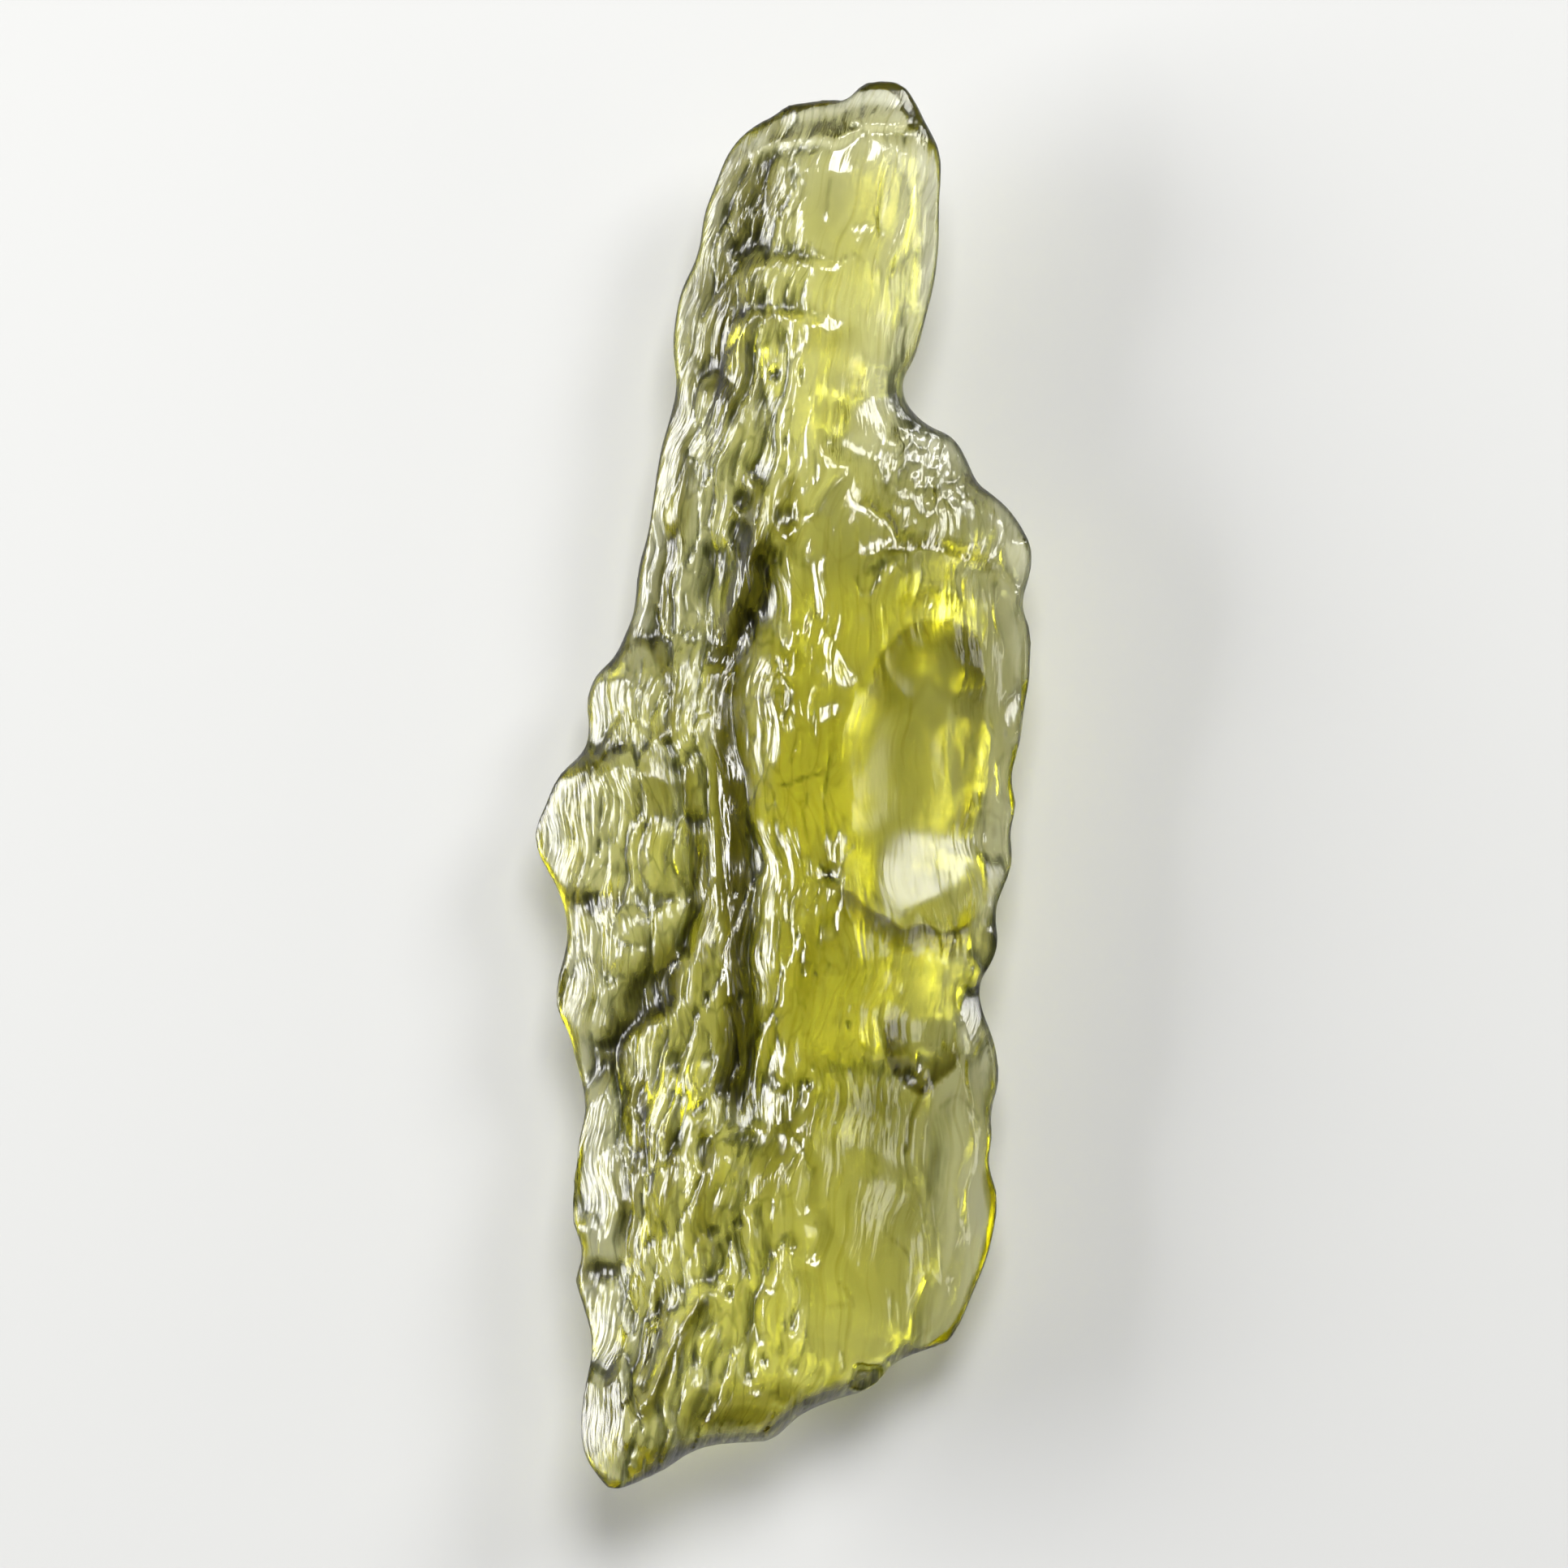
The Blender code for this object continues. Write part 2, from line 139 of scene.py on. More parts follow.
def readNormals(mesh):
    normals = np.empty(len(mesh.vertices) * 3)
    mesh.vertex_normals.foreach_get("vector", normals)
    return normals.reshape(-1, 3)


def evened(mesh, values, passes, strength=0.5):
    # each point's value drawn towards the mean of its neighbours'
    ends = np.empty(len(mesh.edges) * 2, dtype=np.int64)
    mesh.edges.foreach_get("vertices", ends)
    a, b = ends[0::2], ends[1::2]
    count = np.bincount(ends, minlength=len(mesh.vertices))
    values = values.reshape(len(mesh.vertices), -1)
    for _ in range(passes):
        total = np.empty_like(values)
        for axis in range(values.shape[1]):
            column = values[:, axis]
            total[:, axis] = np.bincount(a, column[b], len(column)) + np.bincount(b, column[a], len(column))
        values = values + strength * (total / count[:, None] - values)
    return values.squeeze()


def glassDepth(stone, points):
    # how thick the glass is, straight up and down through each point, and how high its middle lies
    tree = BVHTree.FromObject(stone, bpy.context.evaluated_depsgraph_get())
    thickness, middle = np.zeros(len(points)), points[:, 2].copy()
    for i, (x, y, z) in enumerate(points):
        top = tree.ray_cast(Vector((x, y, 50)), Vector((0, 0, -1)))[0]
        bottom = tree.ray_cast(Vector((x, y, -50)), Vector((0, 0, 1)))[0]
        if top and bottom:
            thickness[i] = top.z - bottom.z
            middle[i] = (top.z + bottom.z) / 2
    return thickness, middle


# The line that the flow of the glass follows down the blade, X at each Y in millimetres
flowLine = {
    "y": [-21, -19.7, -15.3, -10.5, -5.6, 0.2, 2.6, 6.4, 11.3, 16.1, 20.7],
    "x": [-2.5, -2.3, -1.6, -1.3, -0.75, -1.1, -1.25, -1.0, -0.15, 0.8, 2.3],
    "neckWidth": 0.72,  # the lines draw together in the neck
    "neck": (5, 14),  # the Y where they start to, and over what length
    "sway": 0.12,
}


def flowAcross(x, y):
    middle = np.interp(y, flowLine["y"], flowLine["x"])
    start, length = flowLine["neck"]
    narrowing = 1 - (1 - flowLine["neckWidth"]) * smoothStep((y - start) / length)
    return (x - middle) / narrowing


def flowSway(x, y):
    # the flow swings to either side on its way down
    swing = np.sin(y * 0.9 + x * 0.35 + 1.0) + 0.7 * np.sin(y * 1.7 - x * 0.8 + 2.6)
    swing += 0.45 * np.sin(y * 3.1 + x * 1.3)
    return flowLine["sway"] * swing


# Marks of the etched face, each at its own place, in millimetres

# creases: depth, reach to the left and to the right of the path (seen along it), path; below 0 it is a ridge
creases = [
    (0.85, 1.5, 0.62, [(-0.55, 6.6), (-0.8, 5.3), (-1.4, 4.2), (-1.5, 3.0), (-1.5, 2.0), (-1.35, 0.8),
                       (-1.1, -0.8), (-0.95, -2.0), (-0.95, -4.0), (-0.98, -6.5), (-1.05, -8.0),
                       (-1.15, -9.0), (-1.3, -10.5)]),
    (0.1, 0.6, 0.5, [(0.9, 6.4), (1.0, 5.0), (1.5, 4.2), (1.9, 3.2)]),
    (-0.42, 1.7, 1.0, [(1.9, -3.0), (2.5, -3.4), (3.2, -3.7), (3.9, -4.05), (4.7, -4.15), (5.6, -4.0),
                       (6.0, -3.8)]),
    (0.16, 0.5, 0.5, [(4.2, 3.9), (4.6, 3.4), (4.8, 2.9), (4.85, 2.0), (4.9, 0.5), (5.1, -1.0),
                      (5.15, -3.6)]),
    (0.4, 0.5, 0.35, [(-2.6, -1.0), (-2.6, -3.0), (-2.7, -4.0), (-3.0, -4.9)]),
    (-0.28, 0.5, 0.4, [(-0.85, 8.5), (-0.9, 7.5), (-0.95, 6.3), (-1.05, 5.3)]),
    (-0.26, 0.5, 0.4, [(-1.4, 6.7), (-1.5, 5.8), (-1.4, 4.9), (-1.45, 4.2)]),
    (0.34, 0.5, 0.4, [(-2.2, 6.9), (-2.2, 5.6), (-2.1, 4.8), (-2.1, 3.6)]),
    (-0.36, 0.6, 0.6, [(-2.3, -15.1), (-2.9, -16.1), (-3.3, -16.7), (-3.6, -17.3), (-3.9, -17.8),
                       (-4.2, -18.5), (-4.45, -19.2)]),
    (0.3, 0.45, 0.4, [(0.25, -13.6), (0.28, -14.2), (0.45, -15.1), (0.3, -15.6), (0.1, -16.0)]),
    (0.28, 0.4, 0.4, [(0.2, -13.4), (-0.1, -13.6), (-0.45, -14.3)]),
    (0.24, 0.4, 0.35, [(-0.65, -12.6), (-0.6, -13.4), (-0.75, -14.1), (-0.6, -14.9)]),
    (0.26, 0.4, 0.35, [(-1.0, -10.4), (-0.95, -11.2), (-1.1, -12.0), (-1.35, -12.9)]),
    (0.24, 0.4, 0.35, [(-1.4, -13.0), (-1.3, -14.0), (-1.05, -14.9), (-1.0, -16.2), (-1.05, -17.4)]),
    (0.22, 0.4, 0.35, [(0.6, -14.5), (0.75, -15.2), (0.6, -16.4), (0.3, -17.3)]),
    (0.22, 0.35, 0.35, [(0.0, -9.0), (0.1, -10.0), (0.3, -9.6), (0.5, -8.8)]),
    (0.2, 0.4, 0.35, [(0.8, -11.4), (0.6, -12.4)]),
    (0.24, 0.4, 0.4, [(1.05, -12.9), (1.1, -13.4), (0.8, -13.9)]),
    (0.26, 0.6, 0.5, [(-3.4, 1.2), (-3.3, 0.5), (-3.0, 0.1), (-2.85, -0.5), (-2.8, -1.0)]),
    (0.2, 0.3, 0.3, [(-2.8, 0.9), (-3.1, 0.45)]),
    (0.16, 0.5, 0.5, [(-6.3, -14.3), (-5.6, -14.5), (-4.9, -14.45)]),
    (-0.2, 0.5, 0.5, [(3.45, 18.6), (3.5, 17.0), (3.55, 16.0), (3.6, 15.3), (3.45, 14.5), (3.45, 13.0),
                      (3.5, 12.5)]),
    (0.3, 0.5, 0.45, [(-0.5, 18.6), (-0.55, 17.2), (-0.7, 16.0)]),
    (0.2, 0.4, 0.4, [(-1.7, 17.2), (-1.5, 16.4), (-1.3, 15.8)]),
    (0.24, 0.5, 0.4, [(-0.9, 12.9), (-0.7, 11.6), (-0.5, 10.4), (-0.8, 9.2)]),
    (-0.22, 0.5, 0.5, [(0.15, 7.4), (0.15, 5.0), (0.3, 4.4)]),
    (0.22, 0.4, 0.35, [(1.85, 9.2), (1.3, 8.7), (0.85, 7.9)]),
    (0.2, 0.5, 0.4, [(-3.9, 8.4), (-3.5, 7.0), (-3.7, 5.4), (-4.0, 4.0)]),
    (0.24, 0.5, 0.4, [(-3.1, -8.0), (-3.0, -9.6), (-3.2, -10.6)]),
    (0.22, 0.4, 0.4, [(-5.0, -9.9), (-4.7, -10.6), (-4.4, -11.0)]),
    (0.22, 0.4, 0.4, [(-4.0, -11.6), (-4.1, -12.6), (-3.9, -13.6)]),
    (0.24, 0.4, 0.4, [(-3.7, -16.2), (-3.9, -17.2), (-4.2, -17.9)]),
    (0.2, 0.35, 0.35, [(-1.6, -6.5), (-1.55, -8.0), (-1.7, -9.2)]),
    (0.18, 0.35, 0.35, [(-0.15, -6.9), (-0.35, -8.0), (-0.7, -9.0), (-0.8, -9.9)]),
]

# ledges: how high the right side of the path (seen along it) stands above the left, reach, path
ledges = [
    (0.6, 1.2, [(-4.75, -9.2), (-4.8, -8.2), (-4.6, -7.6), (-4.2, -7.2), (-3.7, -6.95), (-3.3, -6.6),
                (-3.25, -6.0), (-3.0, -5.3), (-2.75, -4.6)]),
    (-0.6, 1.2, [(3.9, 4.6), (4.2, 4.8), (4.6, 4.8), (5.1, 4.6), (5.5, 4.2), (5.8, 3.6)]),
    (-0.42, 0.9, [(2.6, 6.6), (3.3, 6.85), (4.1, 6.9), (4.9, 6.8), (5.6, 6.7), (6.3, 6.3), (6.6, 6.0)]),
    (-0.36, 0.8, [(3.4, 5.5), (4.4, 5.75), (5.3, 5.5), (5.9, 4.9)]),
    (-0.34, 0.8, [(3.2, 7.9), (4.2, 8.1), (5.2, 7.9), (6.0, 7.4)]),
    (0.36, 0.9, [(-1.25, 14.2), (-1.3, 15.2), (-0.9, 15.45), (-0.3, 15.5), (0.4, 15.6), (1.2, 15.4)]),
    (0.36, 0.9, [(-1.7, 12.6), (-1.6, 13.5), (-1.2, 13.8), (-0.6, 13.98), (0.2, 13.98), (1.0, 13.7)]),
    (0.28, 0.8, [(-2.2, 15.4), (-2.0, 16.4), (-1.5, 16.9), (-0.9, 17.0)]),
    (-0.34, 0.8, [(-1.4, 18.3), (-0.4, 18.9), (0.5, 18.95), (1.4, 18.85), (1.9, 19.0), (2.3, 19.3),
                  (3.0, 19.45), (3.9, 19.45)]),
    (0.4, 1.1, [(2.95, -7.0), (3.05, -7.9), (3.4, -8.5), (4.0, -9.1), (4.5, -8.75), (5.0, -8.4)]),
    (-0.1, 1.2, [(1.4, -18.05), (0.5, -18.35), (0.0, -18.2), (-1.0, -18.1), (-2.0, -18.3), (-2.7, -18.8)]),
    (0.22, 0.6, [(3.3, -17.1), (2.9, -17.05), (2.1, -17.25), (1.8, -17.9)]),
    (0.3, 0.7, [(-5.2, -17.0), (-4.8, -16.6), (-4.5, -16.0)]),
    (0.34, 0.8, [(-7.0, -6.3), (-6.0, -5.75), (-5.2, -5.9)]),
    (0.34, 0.8, [(-5.9, -0.2), (-5.3, 0.6), (-4.6, 0.9), (-4.1, 0.4)]),
    (0.3, 0.7, [(-5.0, 3.3), (-4.6, 4.0), (-4.0, 4.2)]),
    (0.26, 0.7, [(-2.4, 9.0), (-2.1, 10.2), (-1.5, 10.8)]),
    (-0.24, 0.6, [(-2.1, 6.2), (-1.7, 6.6), (-1.3, 6.9)]),
    (0.22, 0.6, [(4.3, -13.7), (4.15, -14.3), (4.15, -15.2), (4.05, -16.0), (3.7, -16.7)]),
]

# lobes: middle X, Y, half width, half length, lean to the right in degrees, height; below 0 it is a pocket
lobes = [
    (-1.55, -11.0, 0.55, 0.9, 20, 0.21), (-1.6, -12.6, 0.6, 0.95, 16, 0.2),
    (-0.95, -13.6, 0.36, 1.4, 2, 0.16), (-0.35, -12.4, 0.36, 1.25, 8, 0.15),
    (-0.2, -15.1, 0.6, 1.6, 10, 0.21), (-2.2, -16.6, 0.36, 0.5, 20, 0.14),
    (-3.25, -15.7, 0.4, 0.85, 14, 0.16), (-3.3, -9.4, 0.75, 1.0, 12, 0.15),
    (-2.6, -8.7, 0.7, 0.6, -10, 0.11), (-3.6, -2.2, 0.75, 1.05, 0, 0.21), (-4.5, -4.2, 0.55, 0.55, 0, 0.17),
    (-4.4, -5.2, 0.6, 0.5, 10, 0.14), (-6.1, -1.5, 0.85, 2.1, 0, 0.22), (-6.15, -6.6, 0.7, 0.85, 0, 0.2),
    (-5.5, -10.6, 0.5, 1.7, 2, 0.19), (-5.5, -13.1, 0.55, 1.0, 0, 0.21), (-5.05, -15.8, 0.5, 0.95, 6, 0.22),
    (-5.0, -18.6, 0.6, 1.9, -2, 0.21), (-5.0, 2.2, 0.6, 1.2, 16, 0.19), (-4.1, 5.6, 0.42, 1.1, 4, 0.14),
    (-3.3, 8.6, 0.36, 1.3, 8, 0.15), (-3.0, 12.4, 0.4, 1.4, 0, 0.15), (-2.2, 16.8, 0.4, 1.0, 20, 0.15),
    (-3.4, 3.4, 0.6, 1.2, 10, 0.14), (-2.7, 1.9, 0.4, 1.2, 6, 0.1), (-2.0, 11.3, 0.6, 0.9, 8, 0.14),
    (-0.6, 14.6, 0.9, 0.8, 0, 0.12), (-4.1, -14.9, 0.4, 0.9, 6, 0.15), (-2.4, -13.9, 0.4, 0.9, 14, 0.12),
    (-3.6, -12.1, 0.45, 1.0, 6, 0.14), (-2.6, -17.9, 0.5, 0.9, 16, 0.16),
    (-3.6, -19.4, 0.45, 0.9, 10, 0.15), (-1.6, -17.3, 0.45, 0.7, 8, 0.11), (0.35, -12.0, 0.34, 0.9, 6, 0.1),
    (5.6, 8.9, 0.5, 0.4, 20, 0.12), (5.9, 7.0, 0.6, 0.5, 0, 0.14), (-1.15, 8.35, 0.32, 0.36, 10, -0.23),
    (-1.35, 7.4, 0.4, 0.5, 8, -0.22), (-1.75, 6.7, 0.3, 0.4, 0, -0.13), (0.15, 7.9, 0.35, 0.5, 0, -0.14),
    (-0.8, 14.25, 0.55, 0.26, 0, -0.09), (-1.1, 15.9, 0.5, 0.35, 0, -0.11),
    (-2.2, 12.2, 0.4, 0.5, 0, -0.13), (-4.0, -6.1, 0.6, 0.85, 28, -0.23), (-5.8, -3.6, 0.6, 0.45, 0, -0.14),
    (-4.25, -9.4, 0.3, 0.6, 0, -0.19), (-3.45, -10.9, 0.16, 0.45, 24, -0.18),
    (-2.3, -10.9, 0.3, 0.55, 14, -0.19), (-2.45, -9.6, 0.2, 0.4, 26, -0.14),
    (-1.42, -9.4, 0.26, 0.85, 10, -0.17), (-0.35, -8.8, 0.22, 0.25, 0, -0.11),
    (-2.1, -13.2, 0.26, 0.26, 0, -0.17), (-1.78, -14.35, 0.13, 0.45, 8, -0.13),
    (-3.68, -15.6, 0.13, 0.45, 0, -0.14), (-4.55, -13.1, 0.36, 0.6, 0, -0.14),
    (-4.65, -11.6, 0.36, 0.6, 0, -0.12), (-5.7, -14.45, 0.7, 0.42, 0, -0.22),
    (1.3, -4.3, 0.32, 0.42, 10, -0.05), (1.35, -2.65, 0.3, 0.32, -20, -0.11),
    (4.0, -8.35, 0.75, 0.42, 0, -0.2), (2.2, -9.4, 0.9, 0.42, 0, -0.1), (3.95, 15.65, 0.3, 0.46, 35, -0.13),
    (1.7, 13.65, 0.35, 0.3, 0, -0.06), (5.95, -4.7, 0.45, 0.75, 0, -0.12),
]

# broad soft hollows: middle X, Y, half width, half length, lean, depth
scoops = [
    (3.7, 0.9, 2.1, 3.9, 0, 0.15), (3.9, -1.5, 1.9, 2.3, 0, 0.2), (3.9, -6.4, 1.1, 1.5, 0, 0.3),
    (1.8, 17.3, 1.6, 1.8, 0, 0.08), (-1.9, -0.5, 0.9, 5.0, -3, 0.3),
]

# small round pits and bubbles cut open: middle X, Y, half width, half length, lean, depth
pits = [
    (0.75, -8.85, 0.12, 0.2, 10, 0.2), (-0.6, -17.0, 0.13, 0.22, -24, 0.18),
    (-1.6, -15.0, 0.14, 0.22, 0, 0.16), (0.4, -4.5, 0.09, 0.12, 20, 0.16),
    (-0.1, -5.5, 0.12, 0.08, 0, 0.14), (1.9, -7.1, 0.11, 0.14, 0, 0.18), (2.3, -7.2, 0.09, 0.09, 0, 0.16),
    (3.52, -6.8, 0.1, 0.1, 30, 0.07), (3.85, -7.5, 0.2, 0.08, 20, 0.07),
    (4.45, -7.75, 0.18, 0.07, 14, 0.07), (-2.6, -6.8, 0.14, 0.14, 0, 0.18),
    (-2.3, -6.3, 0.12, 0.13, 0, 0.16), (-1.3, -6.3, 0.12, 0.12, 0, 0.16), (-0.25, 12.15, 0.2, 0.2, 0, 0.2),
    (0.52, 12.1, 0.08, 0.3, 0, 0.16), (3.75, 7.3, 0.12, 0.12, 0, 0.18), (5.95, 7.0, 0.12, 0.12, 0, 0.18),
    (6.25, 5.95, 0.12, 0.12, 0, 0.16), (2.1, 19.45, 0.14, 0.12, 0, 0.18),
    (-1.05, -1.5, 0.1, 0.12, 20, 0.14), (-1.45, -3.2, 0.08, 0.1, 0, 0.14), (0.9, -5.5, 0.1, 0.1, 0, 0.14),
    (-1.5, 7.15, 0.1, 0.16, 0, 0.14), (2.85, -6.95, 0.16, 0.07, -16, 0.16), (0.8, 11.6, 0.1, 0.1, 0, 0.1),
    (5.7, -7.6, 0.3, 0.14, 30, 0.16), (0.05, 10.1, 0.09, 0.2, 0, 0.12),
]

# the paths of thin cracks and folds
cracks = [
    [(2.35, 20.6), (2.3, 19.9), (2.4, 19.3)], [(1.37, 17.8), (1.32, 17.4), (1.22, 16.87)],
    [(1.98, 16.57), (2.65, 16.55)], [(1.6, 15.5), (2.0, 15.65), (2.4, 15.35)],
    [(-2.9, 9.9), (-2.6, 9.5), (-2.8, 9.2)],
    [(2.15, 6.15), (2.2, 5.85), (2.35, 5.68), (2.55, 5.8), (2.7, 6.05)],
    [(-0.1, -0.1), (0.5, 0.05), (1.1, 0.3)], [(0.85, 2.6), (0.9, 1.6), (1.0, 1.0)],
    [(-7.3, -1.0), (-5.8, -0.95)], [(-6.7, -5.75), (-5.6, -5.95)],
    [(1.0, -8.6), (1.4, -8.3), (1.9, -8.5), (2.1, -8.4)], [(0.4, -8.9), (0.75, -8.4), (1.1, -8.1)],
    [(2.0, -12.2), (2.3, -12.6), (2.5, -12.9)],
    [(2.85, -12.9), (3.05, -13.4), (3.3, -13.6), (3.6, -13.9), (3.7, -14.5)],
    [(3.2, -10.5), (3.6, -10.9), (3.7, -11.5), (4.0, -12.1), (4.2, -12.9)], [(3.55, -11.2), (3.55, -12.3)],
    [(4.6, -11.5), (4.4, -12.2)], [(2.75, -10.7), (2.75, -11.3)], [(2.5, -11.4), (2.8, -11.9)],
    [(1.7, -14.8), (2.0, -15.1), (2.1, -15.4)], [(1.3, -15.4), (1.9, -15.4)], [(3.15, -15.0), (3.2, -15.8)],
    [(0.55, -4.2), (0.5, -5.0), (0.6, -5.6)], [(2.2, -5.0), (2.35, -5.7), (2.3, -6.4)],
    [(4.75, -5.2), (4.8, -7.4), (4.6, -7.85), (4.1, -7.95), (3.6, -7.6)],
    [(3.3, -5.2), (3.1, -6.0), (3.05, -6.8)], [(4.85, -2.0), (4.95, -3.6)], [(4.4, -2.0), (4.5, -3.0)],
    [(1.0, -4.0), (1.0, -4.8)], [(1.55, -3.0), (1.7, -2.4), (2.05, -1.9)],
    [(1.0, -2.3), (1.35, -2.75), (1.6, -3.0)], [(2.4, -3.0), (2.9, -3.4), (3.3, -3.7), (3.7, -3.85)],
    [(3.9, -3.95), (4.3, -4.1), (4.9, -4.15)], [(5.9, 1.7), (5.5, 1.3), (5.35, 0.5)],
    [(1.7, -16.7), (1.75, -17.2)], [(4.6, -9.7), (5.2, -9.3), (5.7, -9.9)], [(0.85, 9.9), (0.95, 9.0)],
    [(2.4, 11.1), (2.8, 11.2)], [(2.9, 17.9), (2.85, 16.9), (2.95, 16.2)], [(0.2, 18.4), (0.25, 17.4)],
    [(1.9, 10.9), (1.7, 10.0), (1.8, 9.4)], [(3.2, 10.2), (3.0, 9.2), (3.1, 8.4)],
    [(-0.2, 3.6), (0.1, 2.8), (0.0, 1.9)], [(0.4, 1.3), (0.3, 0.6)],
    [(1.3, 0.8), (1.25, -0.6), (1.4, -1.6)], [(0.1, -10.3), (0.5, -10.9), (0.6, -11.6)],
]

# thin chipped lips along the cap and the right side: half their thickness, how far the chip's wall reaches,
# the steepest slope that the back and the face keep inside of them, inner border
lips = [
    (0.42, 0.6, 0.6, 0.8, [(-1.7, 17.5), (-1.1, 18.6), (-0.2, 19.2), (0.9, 19.5), (1.9, 19.7), (2.8, 20.1),
                           (3.6, 20.1), (4.1, 19.6)]),
    (0.8, 0.6, 0.3, 0.5, [(3.9, -8.6), (3.9, -9.4), (3.75, -10.2), (3.75, -11.2), (3.95, -12.5),
                          (4.15, -13.8), (4.2, -15.2), (3.9, -16.6)]),
    (0.34, 0.9, 0.38, 0.6, [(4.2, 19.4), (4.3, 18.4), (4.2, 17.2), (4.1, 16.0), (3.95, 14.6), (3.7, 13.4),
                            (3.15, 12.2), (3.1, 11.3), (3.7, 10.4), (4.4, 9.9), (5.1, 9.2), (5.8, 8.6),
                            (6.3, 7.8), (6.7, 6.5), (6.3, 5.8), (6.1, 5.3), (6.05, 4.5), (6.0, 3.5),
                            (5.95, 2.8), (6.2, 1.9), (6.1, 0.9), (6.2, 0.0), (6.0, -0.6), (5.7, -1.5),
                            (5.9, -2.5), (5.75, -3.6), (5.5, -4.5), (5.6, -5.5), (5.2, -6.5), (5.15, -7.4),
                            (5.3, -8.4), (5.6, -9.4), (5.55, -10.5), (5.2, -11.6), (5.4, -13.0),
                            (5.3, -14.6), (4.9, -15.8), (4.5, -16.6)]),
]

# shaded strips: how dark, reach to the left and to the right of the path (seen along it), path
shadows = [
    (0.55, 0.12, 1.6, [(2.7, 3.2), (3.1, 4.0), (3.7, 4.6), (4.3, 4.85), (5.0, 4.75), (5.6, 4.2),
                       (5.85, 3.4)]),
    (0.35, 0.2, 0.8, [(5.6, 4.2), (5.8, 3.0), (5.75, 1.6), (5.6, 0.2), (5.6, -1.2)]),
    (1.0, 0.12, 0.7, [(2.0, -3.3), (2.6, -3.75), (3.1, -3.95), (3.6, -4.35), (4.2, -4.3), (4.7, -4.5),
                      (5.1, -4.3)]),
    (1.1, 0.75, 0.14, [(2.95, -7.3), (3.1, -8.1), (3.5, -8.6), (4.0, -9.15), (4.5, -8.8), (5.0, -8.4)]),
    (0.6, 0.16, 0.12, [(4.0, -9.1), (3.75, -10.0), (3.65, -11.0)]),
    (1.15, 0.9, 0.6, [(-0.8, 7.0), (-1.1, 5.4), (-1.6, 4.2), (-1.75, 3.0), (-1.75, 2.0), (-1.7, 0.8),
                      (-1.6, -0.8), (-1.5, -2.0), (-1.4, -4.0), (-1.4, -6.5), (-1.5, -8.0), (-1.6, -9.2)]),
    (0.5, 0.5, 0.12, [(3.0, 6.75), (3.7, 6.95), (4.5, 6.9), (5.4, 6.75), (6.1, 6.4)]),
    (0.35, 0.1, 0.5, [(3.5, 5.5), (4.4, 5.75), (5.3, 5.5)]),
    (0.5, 0.4, 0.9, [(-0.4, -18.3), (-1.2, -18.15), (-2.0, -18.35), (-2.6, -18.8)]),
    (0.6, 0.2, 0.6, [(1.6, -18.0), (0.8, -18.3), (0.0, -18.25)]),
    (0.9, 0.3, 1.1, [(-3.3, -5.2), (-3.35, -6.2), (-3.8, -6.95), (-4.6, -7.5), (-4.85, -8.4)]),
    (0.8, 0.3, 0.3, [(-2.35, -15.4), (-3.0, -16.4), (-3.6, -17.6), (-4.2, -18.7)]),
    (0.5, 0.35, 0.3, [(-6.1, -14.3), (-5.4, -14.5), (-4.9, -14.4)]),
    (0.7, 0.35, 0.2, [(-4.3, -8.6), (-4.35, -9.6), (-4.2, -10.5), (-4.5, -11.6), (-4.7, -12.8)]),
    (0.6, 0.3, 0.15, [(-2.4, -10.2), (-2.3, -11.2), (-2.6, -12.2), (-2.4, -13.2)]),
    (0.6, 0.3, 0.15, [(-3.6, -10.2), (-3.4, -11.2), (-3.6, -12.2)]),
    (0.6, 0.3, 0.15, [(-3.8, -14.8), (-3.65, -15.8), (-3.7, -16.6)]),
    (0.6, 0.4, 0.2, [(-3.0, 0.4), (-2.75, -0.8), (-2.65, -2.4), (-2.75, -3.8), (-3.1, -4.9)]),
    (0.6, 0.5, 0.2, [(-6.3, -3.3), (-5.6, -3.7), (-5.0, -3.6)]),
    (0.6, 0.4, 0.2, [(-4.6, 4.4), (-3.9, 3.9), (-3.4, 2.6), (-3.6, 1.4)]),
    (0.7, 0.4, 0.25, [(-0.7, 9.4), (-0.9, 8.5), (-1.15, 7.6), (-1.3, 6.6)]),
    (0.6, 0.35, 0.2, [(0.2, 9.0), (0.15, 8.0), (0.2, 7.2)]),
    (0.5, 0.4, 0.25, [(-3.0, 10.6), (-3.1, 9.2), (-3.3, 7.6), (-3.6, 6.0)]),
    (0.5, 0.4, 0.25, [(-2.0, 14.8), (-1.9, 13.4), (-1.9, 12.2), (-1.5, 11.0)]),
    (0.5, 0.4, 0.2, [(-0.6, 18.4), (-0.6, 17.2), (-0.8, 16.2)]),
    (0.62, 1.1, 1.1, [(-0.9, 18.3), (-1.2, 16.5), (-1.6, 14.8), (-1.9, 13.2), (-2.0, 11.8)]),
    (0.9, 0.25, 0.25, [(6.1, -11.6), (6.25, -13.0), (6.0, -14.4), (5.4, -15.8), (4.6, -16.8),
                       (3.7, -17.1)]),
    (0.4, 0.1, 0.35, [(-1.2, 15.5), (-0.4, 15.55), (0.6, 15.7)]),
    (0.4, 0.1, 0.35, [(-1.6, 13.7), (-0.6, 14.0), (0.5, 14.0)]),
]

